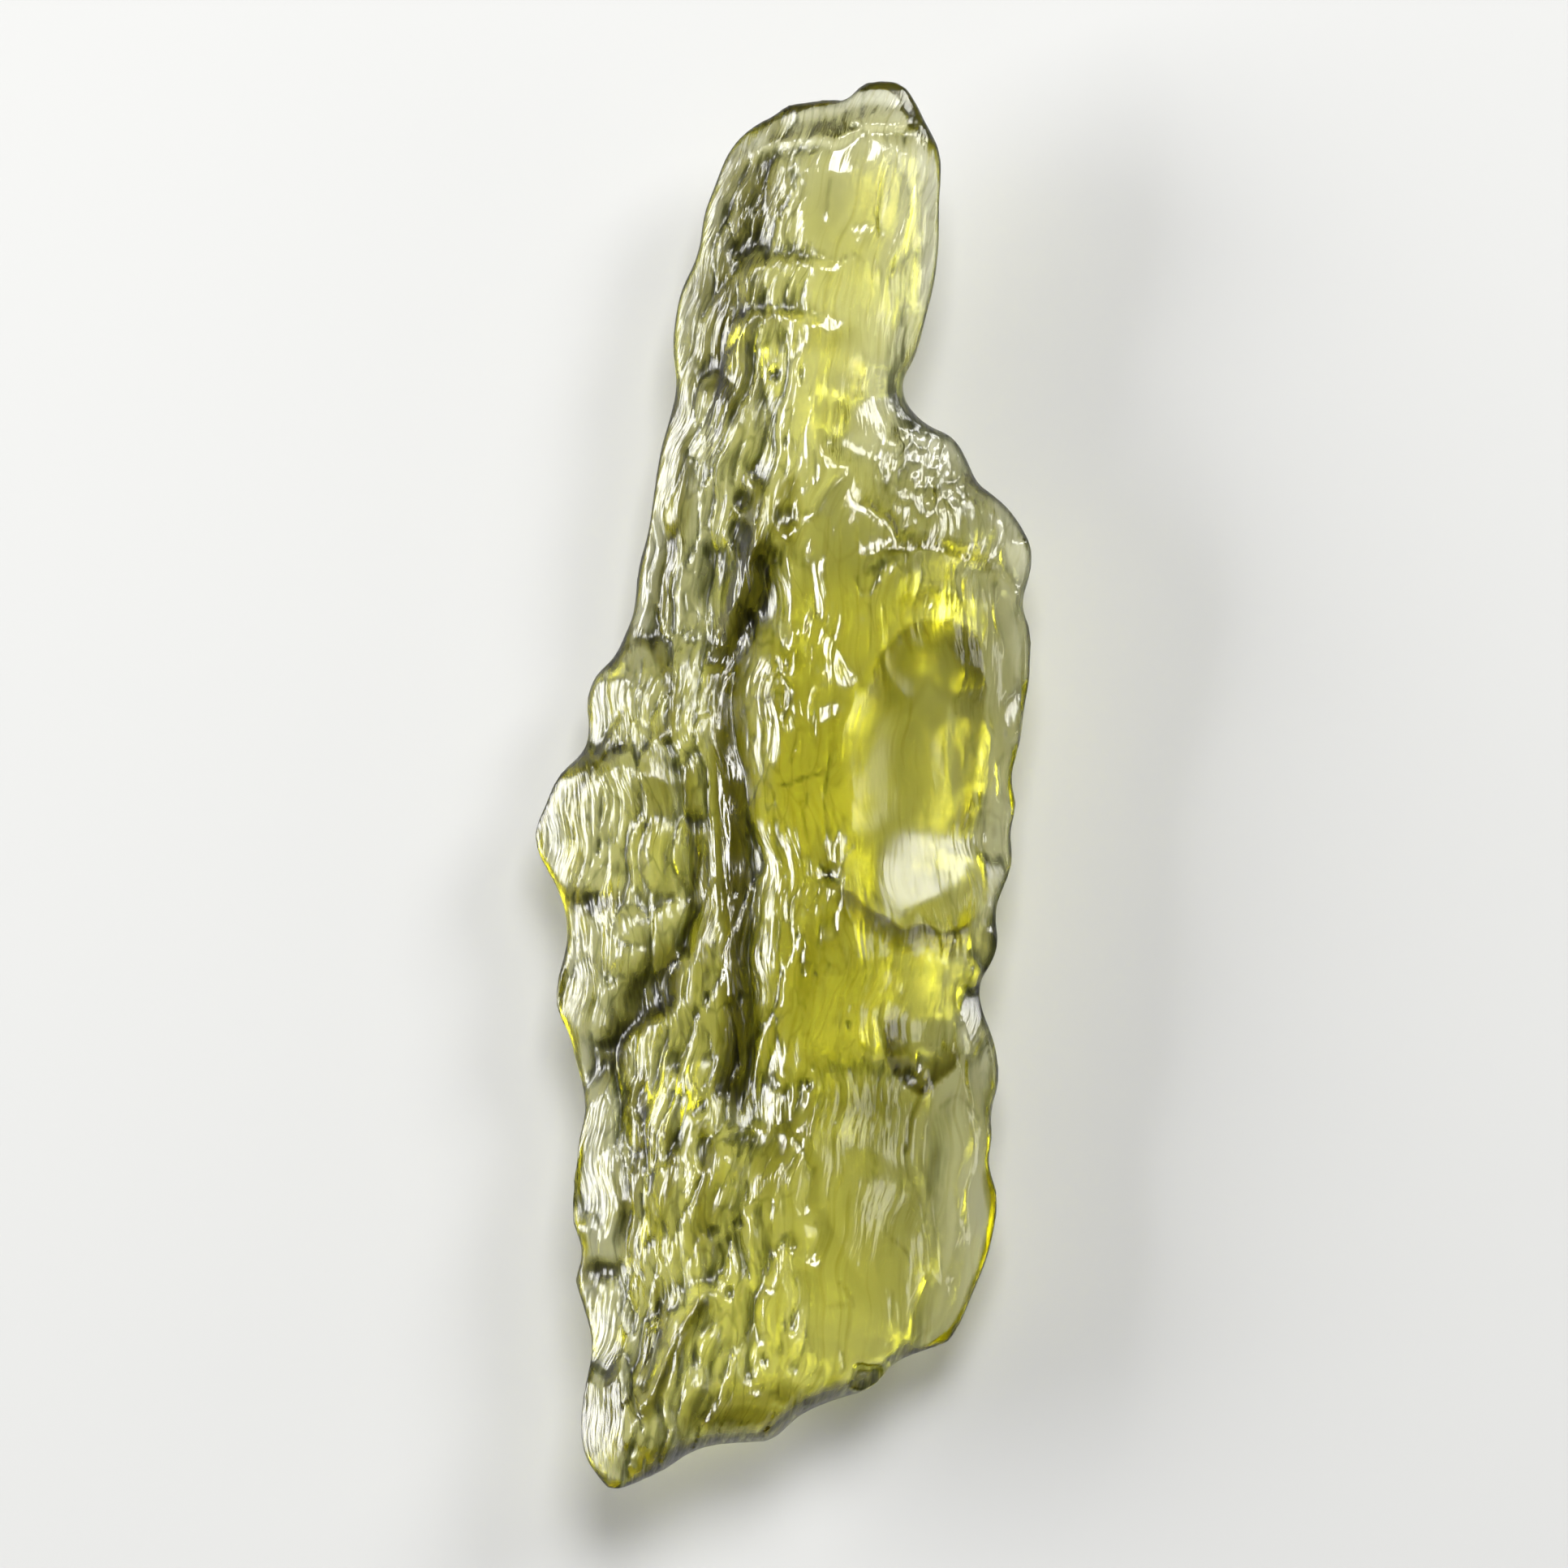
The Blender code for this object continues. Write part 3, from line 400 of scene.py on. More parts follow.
# painted shade: spots where the face is darker than around: middle X, Y, half width, half length, lean, how
# dark
shadedSpots = [
    (-1.5, -5.0, 0.4, 3.2, 2, 0.2), (-1.1, 7.6, 0.5, 1.4, 8, 0.6), (0.1, 7.8, 0.5, 1.2, 0, 0.45),
    (-0.5, 17.4, 0.6, 1.7, 0, 0.4), (-1.6, 12.2, 0.9, 1.2, 0, 0.4), (-4.1, -6.1, 0.8, 1.2, 28, 0.55),
    (-4.4, -9.4, 0.4, 0.9, 0, 0.4), (-4.6, -12.4, 0.4, 1.6, 0, 0.4), (-5.7, -14.45, 0.7, 0.4, 0, 0.6),
    (-4.2, -17.3, 0.35, 1.6, 12, 0.5), (-1.2, -18.7, 1.7, 0.5, 4, 0.8), (5.95, -4.7, 0.5, 0.8, 0, 0.3),
    (2.4, -9.4, 1.4, 0.6, 0, 0.2), (0.2, 3.7, 0.35, 0.4, 0, 0.25), (-0.2, 2.5, 0.6, 0.8, 0, 0.2),
    (-3.9, -0.6, 0.6, 1.6, 10, 0.3), (-3.6, 5.6, 0.4, 1.8, 4, 0.3), (-5.7, -3.6, 0.6, 0.4, 0, 0.5),
    (-2.4, -12.6, 0.4, 1.4, 14, 0.35), (1.3, -4.4, 0.4, 0.6, 0, 0.2), (1.35, -2.6, 0.4, 0.5, 0, 0.2),
    (-2.2, -10.9, 0.3, 0.6, 14, 0.4), (-3.5, -15.6, 0.3, 1.0, 10, 0.35), (-2.3, 14.6, 0.5, 1.2, 0, 0.35),
    (1.0, 13.2, 1.2, 0.5, 0, 0.15), (1.9, 10.9, 1.0, 0.6, 0, 0.15), (-2.4, -3.4, 0.4, 2.4, 4, 0.3),
    (0.7, -5.4, 0.3, 1.2, 0, 0.25), (-0.2, -10.8, 0.5, 1.6, 10, 0.3), (6.5, 3.6, 0.7, 3.6, 0, 0.16),
    (5.9, -9.4, 0.6, 2.0, 0, 0.14), (1.2, 19.6, 2.4, 0.6, 10, 0.12), (2.0, 17.0, 1.6, 2.4, 0, 0.12),
    (-0.4, 19.6, 0.9, 0.5, 30, 0.3), (3.6, 19.3, 0.8, 0.4, 0, 0.2), (0.5, -18.6, 0.6, 0.3, 20, 0.5),
]

# flat chips: middle X, Y, half width, half length, lean, rise of the chip towards +X and +Y, how flat it is,
# how wide its border is, how hollow it is
facets = [
    (3.9, -2.7, 2.2, 1.9, 0, -0.39, -0.33, 0.9, 0.9, 0.1),
    (6.3, -3.0, 0.45, 0.95, 0, -0.36, -0.3, 0.9, 0.45, 0),
    (5.95, -4.85, 0.42, 0.7, 0, -0.15, 0.3, 0.8, 0.45, 0),
    (5.65, -6.9, 0.42, 1.05, 0, -0.38, -0.3, 0.9, 0.45, 0),
    (5.9, -9.0, 0.4, 0.9, 0, 0.1, 0.1, 0.8, 0.45, 0), (6.0, -12.2, 0.5, 1.8, 0, -0.1, -0.05, 0.8, 0.45, 0),
    (6.75, 4.7, 0.4, 1.5, -8, 0.05, 0.12, 0.8, 0.45, 0),
    (6.8, 2.2, 0.35, 0.9, 10, -0.4, -0.3, 0.8, 0.45, 0), (6.9, 6.6, 0.4, 0.7, 0, -0.1, 0.2, 0.8, 0.45, 0),
    (6.75, 0.2, 0.35, 1.0, 0, -0.1, 0.15, 0.8, 0.45, 0), (1.3, 2.7, 0.7, 0.8, 0, 0.0, 0.02, 0.5, 0.6, 0),
    (2.4, 10.3, 1.0, 1.1, 0, -0.06, -0.04, 0.6, 0.9, 0), (2.6, 7.5, 0.6, 0.7, 0, 0.0, 0.02, 0.7, 0.6, 0),
    (2.5, -17.6, 0.6, 0.42, 0, -0.38, -0.3, 0.9, 0.45, 0),
    (4.3, -15.6, 0.5, 1.0, 20, -0.3, 0.1, 0.7, 0.45, 0),
    (-5.3, -19.0, 0.75, 1.9, -4, 0.6, 0.0, 0.85, 0.45, 0),
    (-6.4, -1.2, 0.9, 1.8, 0, 0.62, 0.0, 0.7, 0.45, 0), (-5.9, -6.4, 0.8, 1.1, 0, 0.62, 0.0, 0.7, 0.45, 0),
    (-5.5, -11.2, 0.65, 2.1, 0, 0.6, 0.0, 0.85, 0.45, 0),
    (-5.3, -16.4, 0.6, 1.0, 0, 0.62, 0.0, 0.75, 0.45, 0),
    (-5.3, 2.2, 0.5, 1.2, 16, 0.6, 0.0, 0.85, 0.45, 0), (3.3, 17.0, 0.5, 1.6, 4, -0.1, -0.15, 0.6, 0.45, 0),
]

# where the face is dull: middle X, Y, half width, half length, how dull
frosted = [(3.8, -2.6, 2.2, 1.9, 2.8), (6.2, -3.0, 0.6, 1.0, 1.2), (3.7, 1.2, 2.1, 4.0, 1.0)]

# where the face is smoother: middle X, Y, half width, half length, share of the relief taken off
windows = [
    (3.6, 0.4, 1.9, 4.4, 0.95), (2.2, -13.6, 2.0, 3.6, 0.85), (4.9, -12.2, 1.4, 4.4, 0.95),
    (1.9, 17.2, 1.5, 2.2, 0.85), (1.9, 12.6, 1.6, 3.0, 0.6), (6.8, 3.0, 1.0, 4.2, 0.7),
    (1.6, 9.0, 1.2, 2.4, 0.5), (4.0, -6.3, 1.2, 1.6, 0.7), (2.4, 19.9, 1.8, 0.9, 0.5),
    (1.4, 4.0, 1.2, 3.2, 0.5), (-1.7, -0.5, 0.5, 6.0, 0.6),
]

carving = {
    "pieces": 5,  # straight pieces in each span of a path
    "wander": 0.06,  # how far the marks stray from their plain lines
    "creaseSharpness": 1.15,  # 1 gives straight flanks, more draws them in towards the path
    "shadowSharpness": 0.8,
    "ledgeWall": 0.16,  # how wide the steep part of a ledge is
    "ledgeSharpness": 1.3,
    "domeRoundness": 0.62,  # 0.5 makes the lobes round, less makes them blunt
    "domeTilt": (-0.25, 0.2),  # how much a lobe rises towards its right and its upper border
    "pitRim": (0.25, 1.25, 0.3),  # its height as a share of the pit's depth, its place and width of the size
    "crackDepth": 0.07,
    "crackReach": 0.1,
    "lipReach": 4.5,  # how far from its border a lip is felt
    "lipStep": 0.35,  # how far the face stands above a lip at its border
    "lipFade": 1.5,
    "chipCorners": 2.4,  # 2 makes the chips oval, more makes them squarer
    "chipRagged": (0.13, 0.07),  # how far a chip's outline swings in and out, 3 times and 5 times around it
    "chipEdge": 1.2,  # how far out a chip ends
    "chipShare": 0.7,  # share of the etched relief that the flat chips take off
    "backShare": 0.75,  # how much of the creases and ledges shows on the back
    "backWall": 0.4,
    "backSharpness": 1.6,
    "backWidening": 1.35,
}


def curved(path):
    # the path as a smooth curve
    points = np.array(path)
    if len(points) < 3:
        return points
    ends = np.vstack([2 * points[0] - points[1], points, 2 * points[-1] - points[-2]])
    curve = []
    for a, b, c, d in zip(ends, ends[1:], ends[2:], ends[3:]):
        for t in np.arange(carving["pieces"]) / carving["pieces"]:
            curve.append(0.5 * (2 * b + (c - a) * t + (2 * a - 5 * b + 4 * c - d) * t**2
                                + (3 * b - a - 3 * c + d) * t**3))
    return np.array([*curve, points[-1]])


def pathPlace(path, x, y):
    # distance to the path, how far to its right, and how far beyond its ends
    nearest, right, beyond = np.full(len(x), 1e9), np.zeros(len(x)), np.zeros(len(x))
    line = curved(path)
    for i, ((ax, ay), (bx, by)) in enumerate(zip(line, line[1:])):
        dx, dy = bx - ax, by - ay
        length = math.hypot(dx, dy)
        share = ((x - ax) * dx + (y - ay) * dy) / length**2
        held = np.clip(share, 0, 1)
        distance = np.hypot(x - ax - held * dx, y - ay - held * dy)
        closer = distance < nearest
        nearest = np.where(closer, distance, nearest)
        right = np.where(closer, ((x - ax) * dy - (y - ay) * dx) / length, right)
        past = np.zeros(len(x))
        if i == 0:
            past = np.maximum(past, -share * length)
        if i == len(line) - 2:
            past = np.maximum(past, (share - 1) * length)
        beyond = np.where(closer, past, beyond)
    return nearest, right, beyond


def placesNear(path, x, y, reach):
    # which points the path can reach, and their places along it
    xs, ys = np.array(path).T
    margin = reach + 0.3  # the curve swings a little past its own points
    near = (x > xs.min() - margin) & (x < xs.max() + margin)
    near &= (y > ys.min() - margin) & (y < ys.max() + margin)
    return near, *pathPlace(path, x[near], y[near])


def alongPaths(marks, x, y, sharpness, widening=1.0):
    total = np.zeros(len(x))
    for amount, left, right, path in marks:
        left, right = left * widening, right * widening
        near, nearest, across, beyond = placesNear(path, x, y, max(left, right))
        reach = np.where(across < 0, left, right)
        flank = np.clip(1 - nearest / reach, 0, 1) ** sharpness
        total[near] += amount * flank * (1 - smoothStep(beyond / reach))
    return total


def ledgeHeights(x, y, wall):
    total = np.zeros(len(x))
    for rise, reach, path in ledges:
        near, nearest, across, beyond = placesNear(path, x, y, reach)
        step = np.tanh(across / wall) * np.clip(1 - nearest / reach, 0, 1) ** carving["ledgeSharpness"]
        total[near] += 0.5 * rise * step * (1 - smoothStep(beyond / reach * 1.5))
    return total


def crackHeights(x, y):
    total = np.zeros(len(x))
    reach = carving["crackReach"]
    for path in cracks:
        near, nearest, _, beyond = placesNear(path, x, y, reach)
        flank = np.clip(1 - nearest / reach, 0, 1)
        total[near] -= carving["crackDepth"] * flank * (1 - smoothStep(beyond / reach))
    return total


def ovalPlace(x, y, middleX, middleY, halfWidth, halfLength, lean=0):
    # place inside an oval: across it, along it, and how far out, 1 on its border
    turn = math.radians(lean)
    across = ((x - middleX) * math.cos(turn) - (y - middleY) * math.sin(turn)) / halfWidth
    along = ((x - middleX) * math.sin(turn) + (y - middleY) * math.cos(turn)) / halfLength
    return across, along, np.hypot(across, along)


def strongest(marks, x, y, border, fade):
    # the strongest mark at each point; a mark ends this far out and fades over this much of its size
    most = np.zeros(len(x))
    for *place, amount in marks:
        out = ovalPlace(x, y, *place)[2]
        most = np.maximum(most, amount * smoothStep((border - out) / fade))
    return most


def lobeHeights(x, y):
    # domes and pockets with a crisp border, a little higher at their upper left
    total = np.zeros(len(x))
    rightTilt, upTilt = carving["domeTilt"]
    for *place, height in lobes:
        across, along, out = ovalPlace(x, y, *place)
        dome = np.clip(1 - out**2, 0, 1) ** carving["domeRoundness"]
        total += height * dome * (1 + rightTilt * across + upTilt * along)
    return total


def scoopHeights(x, y):
    total = np.zeros(len(x))
    for *place, depth in scoops:
        total -= depth * np.clip(1 - ovalPlace(x, y, *place)[2] ** 2, 0, 1) ** 2
    return total


def pitHeights(x, y):
    # round pits, each with a low rim around it
    total = np.zeros(len(x))
    rimHeight, rimPlace, rimWidth = carving["pitRim"]
    for *place, depth in pits:
        out = ovalPlace(x, y, *place)[2]
        total -= depth * np.clip(1 - out**2, 0, 1) ** 0.5
        total += rimHeight * depth * np.exp(-(((out - rimPlace) / rimWidth) ** 2))
    return total


def wandered(x, y):
    # the marks' lines stray a little, as etched glass does
    sway = np.sin(x * 1.3 + y * 0.9 + 0.7) + np.sin(x * 2.9 - y * 1.7 + 2.1) * 0.6
    sway += np.sin(y * 4.3 + x * 1.7) * 0.3
    drift = np.sin(x * 1.9 - y * 1.1 + 4.4) + np.sin(x * 4.1 + y * 1.6 + 1.3) * 0.4
    return x + carving["wander"] * sway, y + carving["wander"] * drift


def thinned(x, y, height, face):
    # heights above or below the glass's middle, held down to the thin lips outside their borders
    # the paths run down the right side, so the rim is on their left
    for half, wall, backSlope, faceSlope, path in lips:
        near, nearest, across, beyond = placesNear(path, x, y, carving["lipReach"])
        outside = np.where(across < 0, nearest, 0)
        inside = np.where(across > 0, nearest, 0)
        slope = np.where(face[near] > 0.5, faceSlope, backSlope)
        step = np.where(face[near] > 0.5, carving["lipStep"], 0.0)
        limit = half + step * (1 - smoothStep(outside / wall)) + slope * inside
        held = height[near]
        height[near] = held - np.maximum(held - limit, 0) * (1 - smoothStep(beyond / carving["lipFade"]))
    return height


def chipped(x, y, height, face):
    # heights drawn to each chip's own plane, which keeps the chip's mean height
    corners = carving["chipCorners"]
    threefold, fivefold = carving["chipRagged"]
    for *place, riseX, riseY, flatness, border, hollow in facets:
        across, along, _ = ovalPlace(x, y, *place)
        around = np.arctan2(along, across) + place[0] + place[1]
        ragged = 1 + threefold * np.sin(3 * around) + fivefold * np.sin(5 * around + 1)
        out = (np.abs(across) ** corners + np.abs(along) ** corners) ** (1 / corners) * ragged
        inside = (out < 1) & (face > 0.5)
        fromX, fromY = x - place[0], y - place[1]
        plane = height[inside].mean() + riseX * fromX + riseY * fromY + hollow * (fromX**2 + fromY**2) / 2
        share = flatness * smoothStep((carving["chipEdge"] - out) / border) * face
        height = height + share * (plane - height)
    return height


def carved(heights, at, etching):
    # the surface's heights with every mark in the glass, and the fine marks' own heights
    strayX, strayY = wandered(at.x, at.y)
    fineMarks = pitHeights(at.x, at.y) + crackHeights(strayX, strayY)
    marks = ledgeHeights(strayX, strayY, carving["ledgeWall"]) + lobeHeights(strayX, strayY)
    marks += scoopHeights(at.x, at.y) - alongPaths(creases, strayX, strayY, carving["creaseSharpness"])
    marks += fineMarks
    behind = ledgeHeights(strayX, strayY, carving["backWall"])
    behind -= alongPaths(creases, strayX, strayY, carving["backSharpness"], carving["backWidening"])
    lift = np.where(at.face > 0.5, marks, -carving["backShare"] * behind) * at.room
    half = thinned(strayX, strayY, (heights + lift - at.middle) * at.outward, at.face)
    underChips = at.middle + half * at.outward + carving["chipShare"] * etching
    chips = chipped(strayX, strayY, underChips, at.face)
    return chips + (1 - carving["chipShare"]) * etching, fineMarks


# Etched flow relief, made by Geometry Nodes

relief = {
    "Scale Width": 0.78,  # the sizes are in millimetres
    "Scale Length": 2.6,
    "Scale Height": 0.2,
    "Rib Width": 0.34,
    "Rib Length": 2.2,
    "Rib Height": 0.14,
    "Line Width": 0.13,
    "Line Length": 0.9,
    "Line Height": 0.07,
    "Crumb Size": 0.42,
    "Crumb Height": 0.16,
    "Back Coarseness": 1.7,  # the back's scales are this much wider
    "Back Height": 0.9,
    "Back Fineness": 0.8,
    "Seed": 7.0,
}


def newTree(name, inputs):
    tree = bpy.data.node_groups.new(name, "GeometryNodeTree")
    tree.interface.new_socket(name="Geometry", in_out="INPUT", socket_type="NodeSocketGeometry")
    for label, value in inputs.items():
        socket = tree.interface.new_socket(name=label, in_out="INPUT", socket_type="NodeSocketFloat")
        socket.default_value = value
    tree.interface.new_socket(name="Geometry", in_out="OUTPUT", socket_type="NodeSocketGeometry")
    return tree


def treeTools(tree):
    # short ways to fill a tree: put(socket, value), node(kind, settings, inputs), number(operation, a, b, c)
    def put(socket, value):
        if isinstance(value, bpy.types.NodeSocket):
            tree.links.new(value, socket)
        elif value is not None:
            socket.default_value = value

    def node(kind, settings=None, inputs=None):
        made = tree.nodes.new(kind)
        for key, value in (settings or {}).items():
            setattr(made, key, value)
        for key, value in (inputs or {}).items():
            put(made.inputs[key], value)
        return made

    def number(operation, a, b=None, c=None):
        made = tree.nodes.new("ShaderNodeMath")
        made.operation = operation
        for socket, value in zip(made.inputs, (a, b, c)):
            put(socket, value)
        return made.outputs[0]

    return put, node, number


def reliefTree(settings, material):
    tree = newTree("etchedFlow", settings)
    _, node, number = treeTools(tree)
    given = node("NodeGroupInput").outputs

    def attribute(name):
        named = node("GeometryNodeInputNamedAttribute", {"data_type": "FLOAT"}, {"Name": name})
        return named.outputs["Attribute"]

    across, along = attribute("flowAcross"), attribute("flowAlong")
    face, strength, crumbs = attribute("face"), attribute("etch"), attribute("crumble")
    back = number("SUBTRACT", 1.0, face)

    def onBack(amount):
        # the amount on the back and 1 on the face
        return number("MULTIPLY_ADD", back, number("SUBTRACT", amount, 1.0), 1.0)

    def stretched(width, length, shift):
        # flow coordinates in units of one feature's width and length, each side with its own pattern
        return node("ShaderNodeCombineXYZ", inputs={
            0: number("DIVIDE", across, width),
            1: number("DIVIDE", along, length),
            2: number("MULTIPLY_ADD", face, 11.3, number("ADD", given["Seed"], shift)),
        }).outputs[0]

    # long tilted scales with sharp edges
    coarse = onBack(given["Back Coarseness"])
    width = number("MULTIPLY", given["Scale Width"], coarse)
    length = number("MULTIPLY", given["Scale Length"], coarse)
    wobble = node("ShaderNodeTexNoise", {"noise_dimensions": "3D"}, {
        "Vector": stretched(width, length, 0.0), "Scale": 0.6, "Detail": 1.0})
    shifted = node("ShaderNodeVectorMath", {"operation": "MULTIPLY_ADD"}, {
        0: wobble.outputs["Color"], 1: (1.5, 0.8, 0.0), 2: stretched(width, length, 3.0)})
    cells = node("ShaderNodeTexVoronoi", {"voronoi_dimensions": "3D", "feature": "F1"}, {
        "Vector": shifted.outputs[0], "Scale": 1.0, "Randomness": 0.95})
    fromCentre = node("ShaderNodeVectorMath", {"operation": "SUBTRACT"}, {
        0: shifted.outputs[0], 1: cells.outputs["Position"]})
    offsets = node("ShaderNodeSeparateXYZ", inputs={0: fromCentre.outputs[0]})
    chance = node("ShaderNodeSeparateXYZ", inputs={0: cells.outputs["Color"]})
    tiltAlong = number("MULTIPLY", offsets.outputs[1], number("MULTIPLY_ADD", chance.outputs[2], 1.0, -0.2))
    tiltAcross = number("MULTIPLY", offsets.outputs[0], number("MULTIPLY_ADD", chance.outputs[0], -0.9, -0.5))
    dome = number("MULTIPLY", number("MULTIPLY", cells.outputs["Distance"], cells.outputs["Distance"]), -1.3)
    scales = number("ADD", number("ADD", tiltAlong, tiltAcross), dome)
    scales = number("ADD", scales, number("MULTIPLY", chance.outputs[1], 0.35))

    # rounded ribs with sharp grooves between them
    ribNoise = node("ShaderNodeTexNoise", {"noise_dimensions": "3D"}, {
        "Vector": stretched(given["Rib Width"], given["Rib Length"], 21.0), "Scale": 1.0, "Detail": 1.0,
        "Distortion": 0.8})
    ribs = number("ABSOLUTE", number("MULTIPLY_ADD", ribNoise.outputs[0], 2.0, -1.0))
    ribs = number("POWER", ribs, 0.7)

    # fine flow lines
    lineNoise = node("ShaderNodeTexNoise", {"noise_dimensions": "3D"}, {
        "Vector": stretched(given["Line Width"], given["Line Length"], 43.0), "Scale": 1.0, "Detail": 1.5,
        "Distortion": 0.5})
    lines = number("MULTIPLY_ADD", lineNoise.outputs[0], 2.0, -1.0)

    # crumbly bits where the edge is broken
    bits = node("ShaderNodeTexVoronoi", {"voronoi_dimensions": "3D", "feature": "F1"}, {
        "Vector": stretched(given["Crumb Size"], given["Crumb Size"], 61.0), "Scale": 1.0, "Randomness": 1.0})
    crumbled = number("MULTIPLY", number("SUBTRACT", 0.5, bits.outputs["Distance"]), crumbs)

    # ribs and lines, which keep more of their height than the scales where the etching is weak
    fine = number("MULTIPLY", ribs, given["Rib Height"])
    fine = number("MULTIPLY_ADD", lines, given["Line Height"], fine)
    fine = number("MULTIPLY", fine, number("MULTIPLY_ADD", back, given["Back Fineness"], face))
    fine = number("MULTIPLY", fine, number("POWER", strength, -0.4))
    scaleHeight = number("MULTIPLY", given["Scale Height"], onBack(given["Back Height"]))
    height = number("MULTIPLY_ADD", scales, scaleHeight, fine)
    height = number("MULTIPLY", height, strength)
    height = number("MULTIPLY_ADD", crumbled, given["Crumb Height"], height)
    outward = number("MULTIPLY_ADD", face, 2.0, -1.0)
    rise = node("ShaderNodeCombineXYZ", inputs={2: number("MULTIPLY", height, outward)})
    moved = node("GeometryNodeSetPosition", inputs={"Geometry": given["Geometry"], "Offset": rise.outputs[0]})
    real = node("GeometryNodeRealizeInstances", inputs={"Geometry": moved.outputs[0]})
    glassed = node("GeometryNodeSetMaterial", inputs={"Geometry": real.outputs[0], "Material": material})
    node("NodeGroupOutput", inputs={"Geometry": glassed.outputs[0]})
    return tree


def applyTree(stone, tree, settings):
    modifier = stone.modifiers.new(tree.name, "NODES")
    modifier.node_group = tree
    for item in tree.interface.items_tree:
        if item.in_out == "INPUT" and item.name in settings:
            modifier[item.identifier] = settings[item.name]
    bakeModifiers(stone)


def giveAttribute(mesh, name, values):
    layer = mesh.attributes.new(name, "FLOAT", "POINT")
    layer.data.foreach_set("value", np.ascontiguousarray(values, dtype=np.float32))


# Glass

glass = {
    "ior": 1.5,
    "clearRoughness": 0.12,
    "etchedRoughness": 0.24,
    "skinRoughness": 0.3,
    "spared": (0.973, 0.958, 0.07),  # red, green and blue; the glass absorbs 1 minus these, times the density
    "density": 310.0,  # per metre
    "darkest": (0.05, 0.054, 0.026),  # what the face lets through where its painted shade is darkest
    "shaded": (0.07, 0.06, 0.004),  # the same in the painted shade of strips and spots, and in threads
    "streakSize": (0.14, 1.5),  # across and along the flow, in millimetres
    "streakRise": 0.0006,  # metres
    "streakShares": (2.6, -0.3),  # the painted shade's darkness is this much of the streaks, plus this
    "threadSize": (0.24, 6.0),
    "threadLevel": 0.54,  # the noise above this makes the dark threads
    "threadDarkness": 0.7,
    # painted shade lines between small scales
    "creviceSize": (0.62, 1.9),
    "creviceStray": (1.4, 0.9, 0.0),  # how far their cells stray, as shares of their size
    "creviceReach": 0.09,
    "creviceDarkness": 0.26,
    "ripple": 0.00004,  # depth of the finest ripples
    "smoothRipple": 0.35,  # share of it where the face is smooth
}


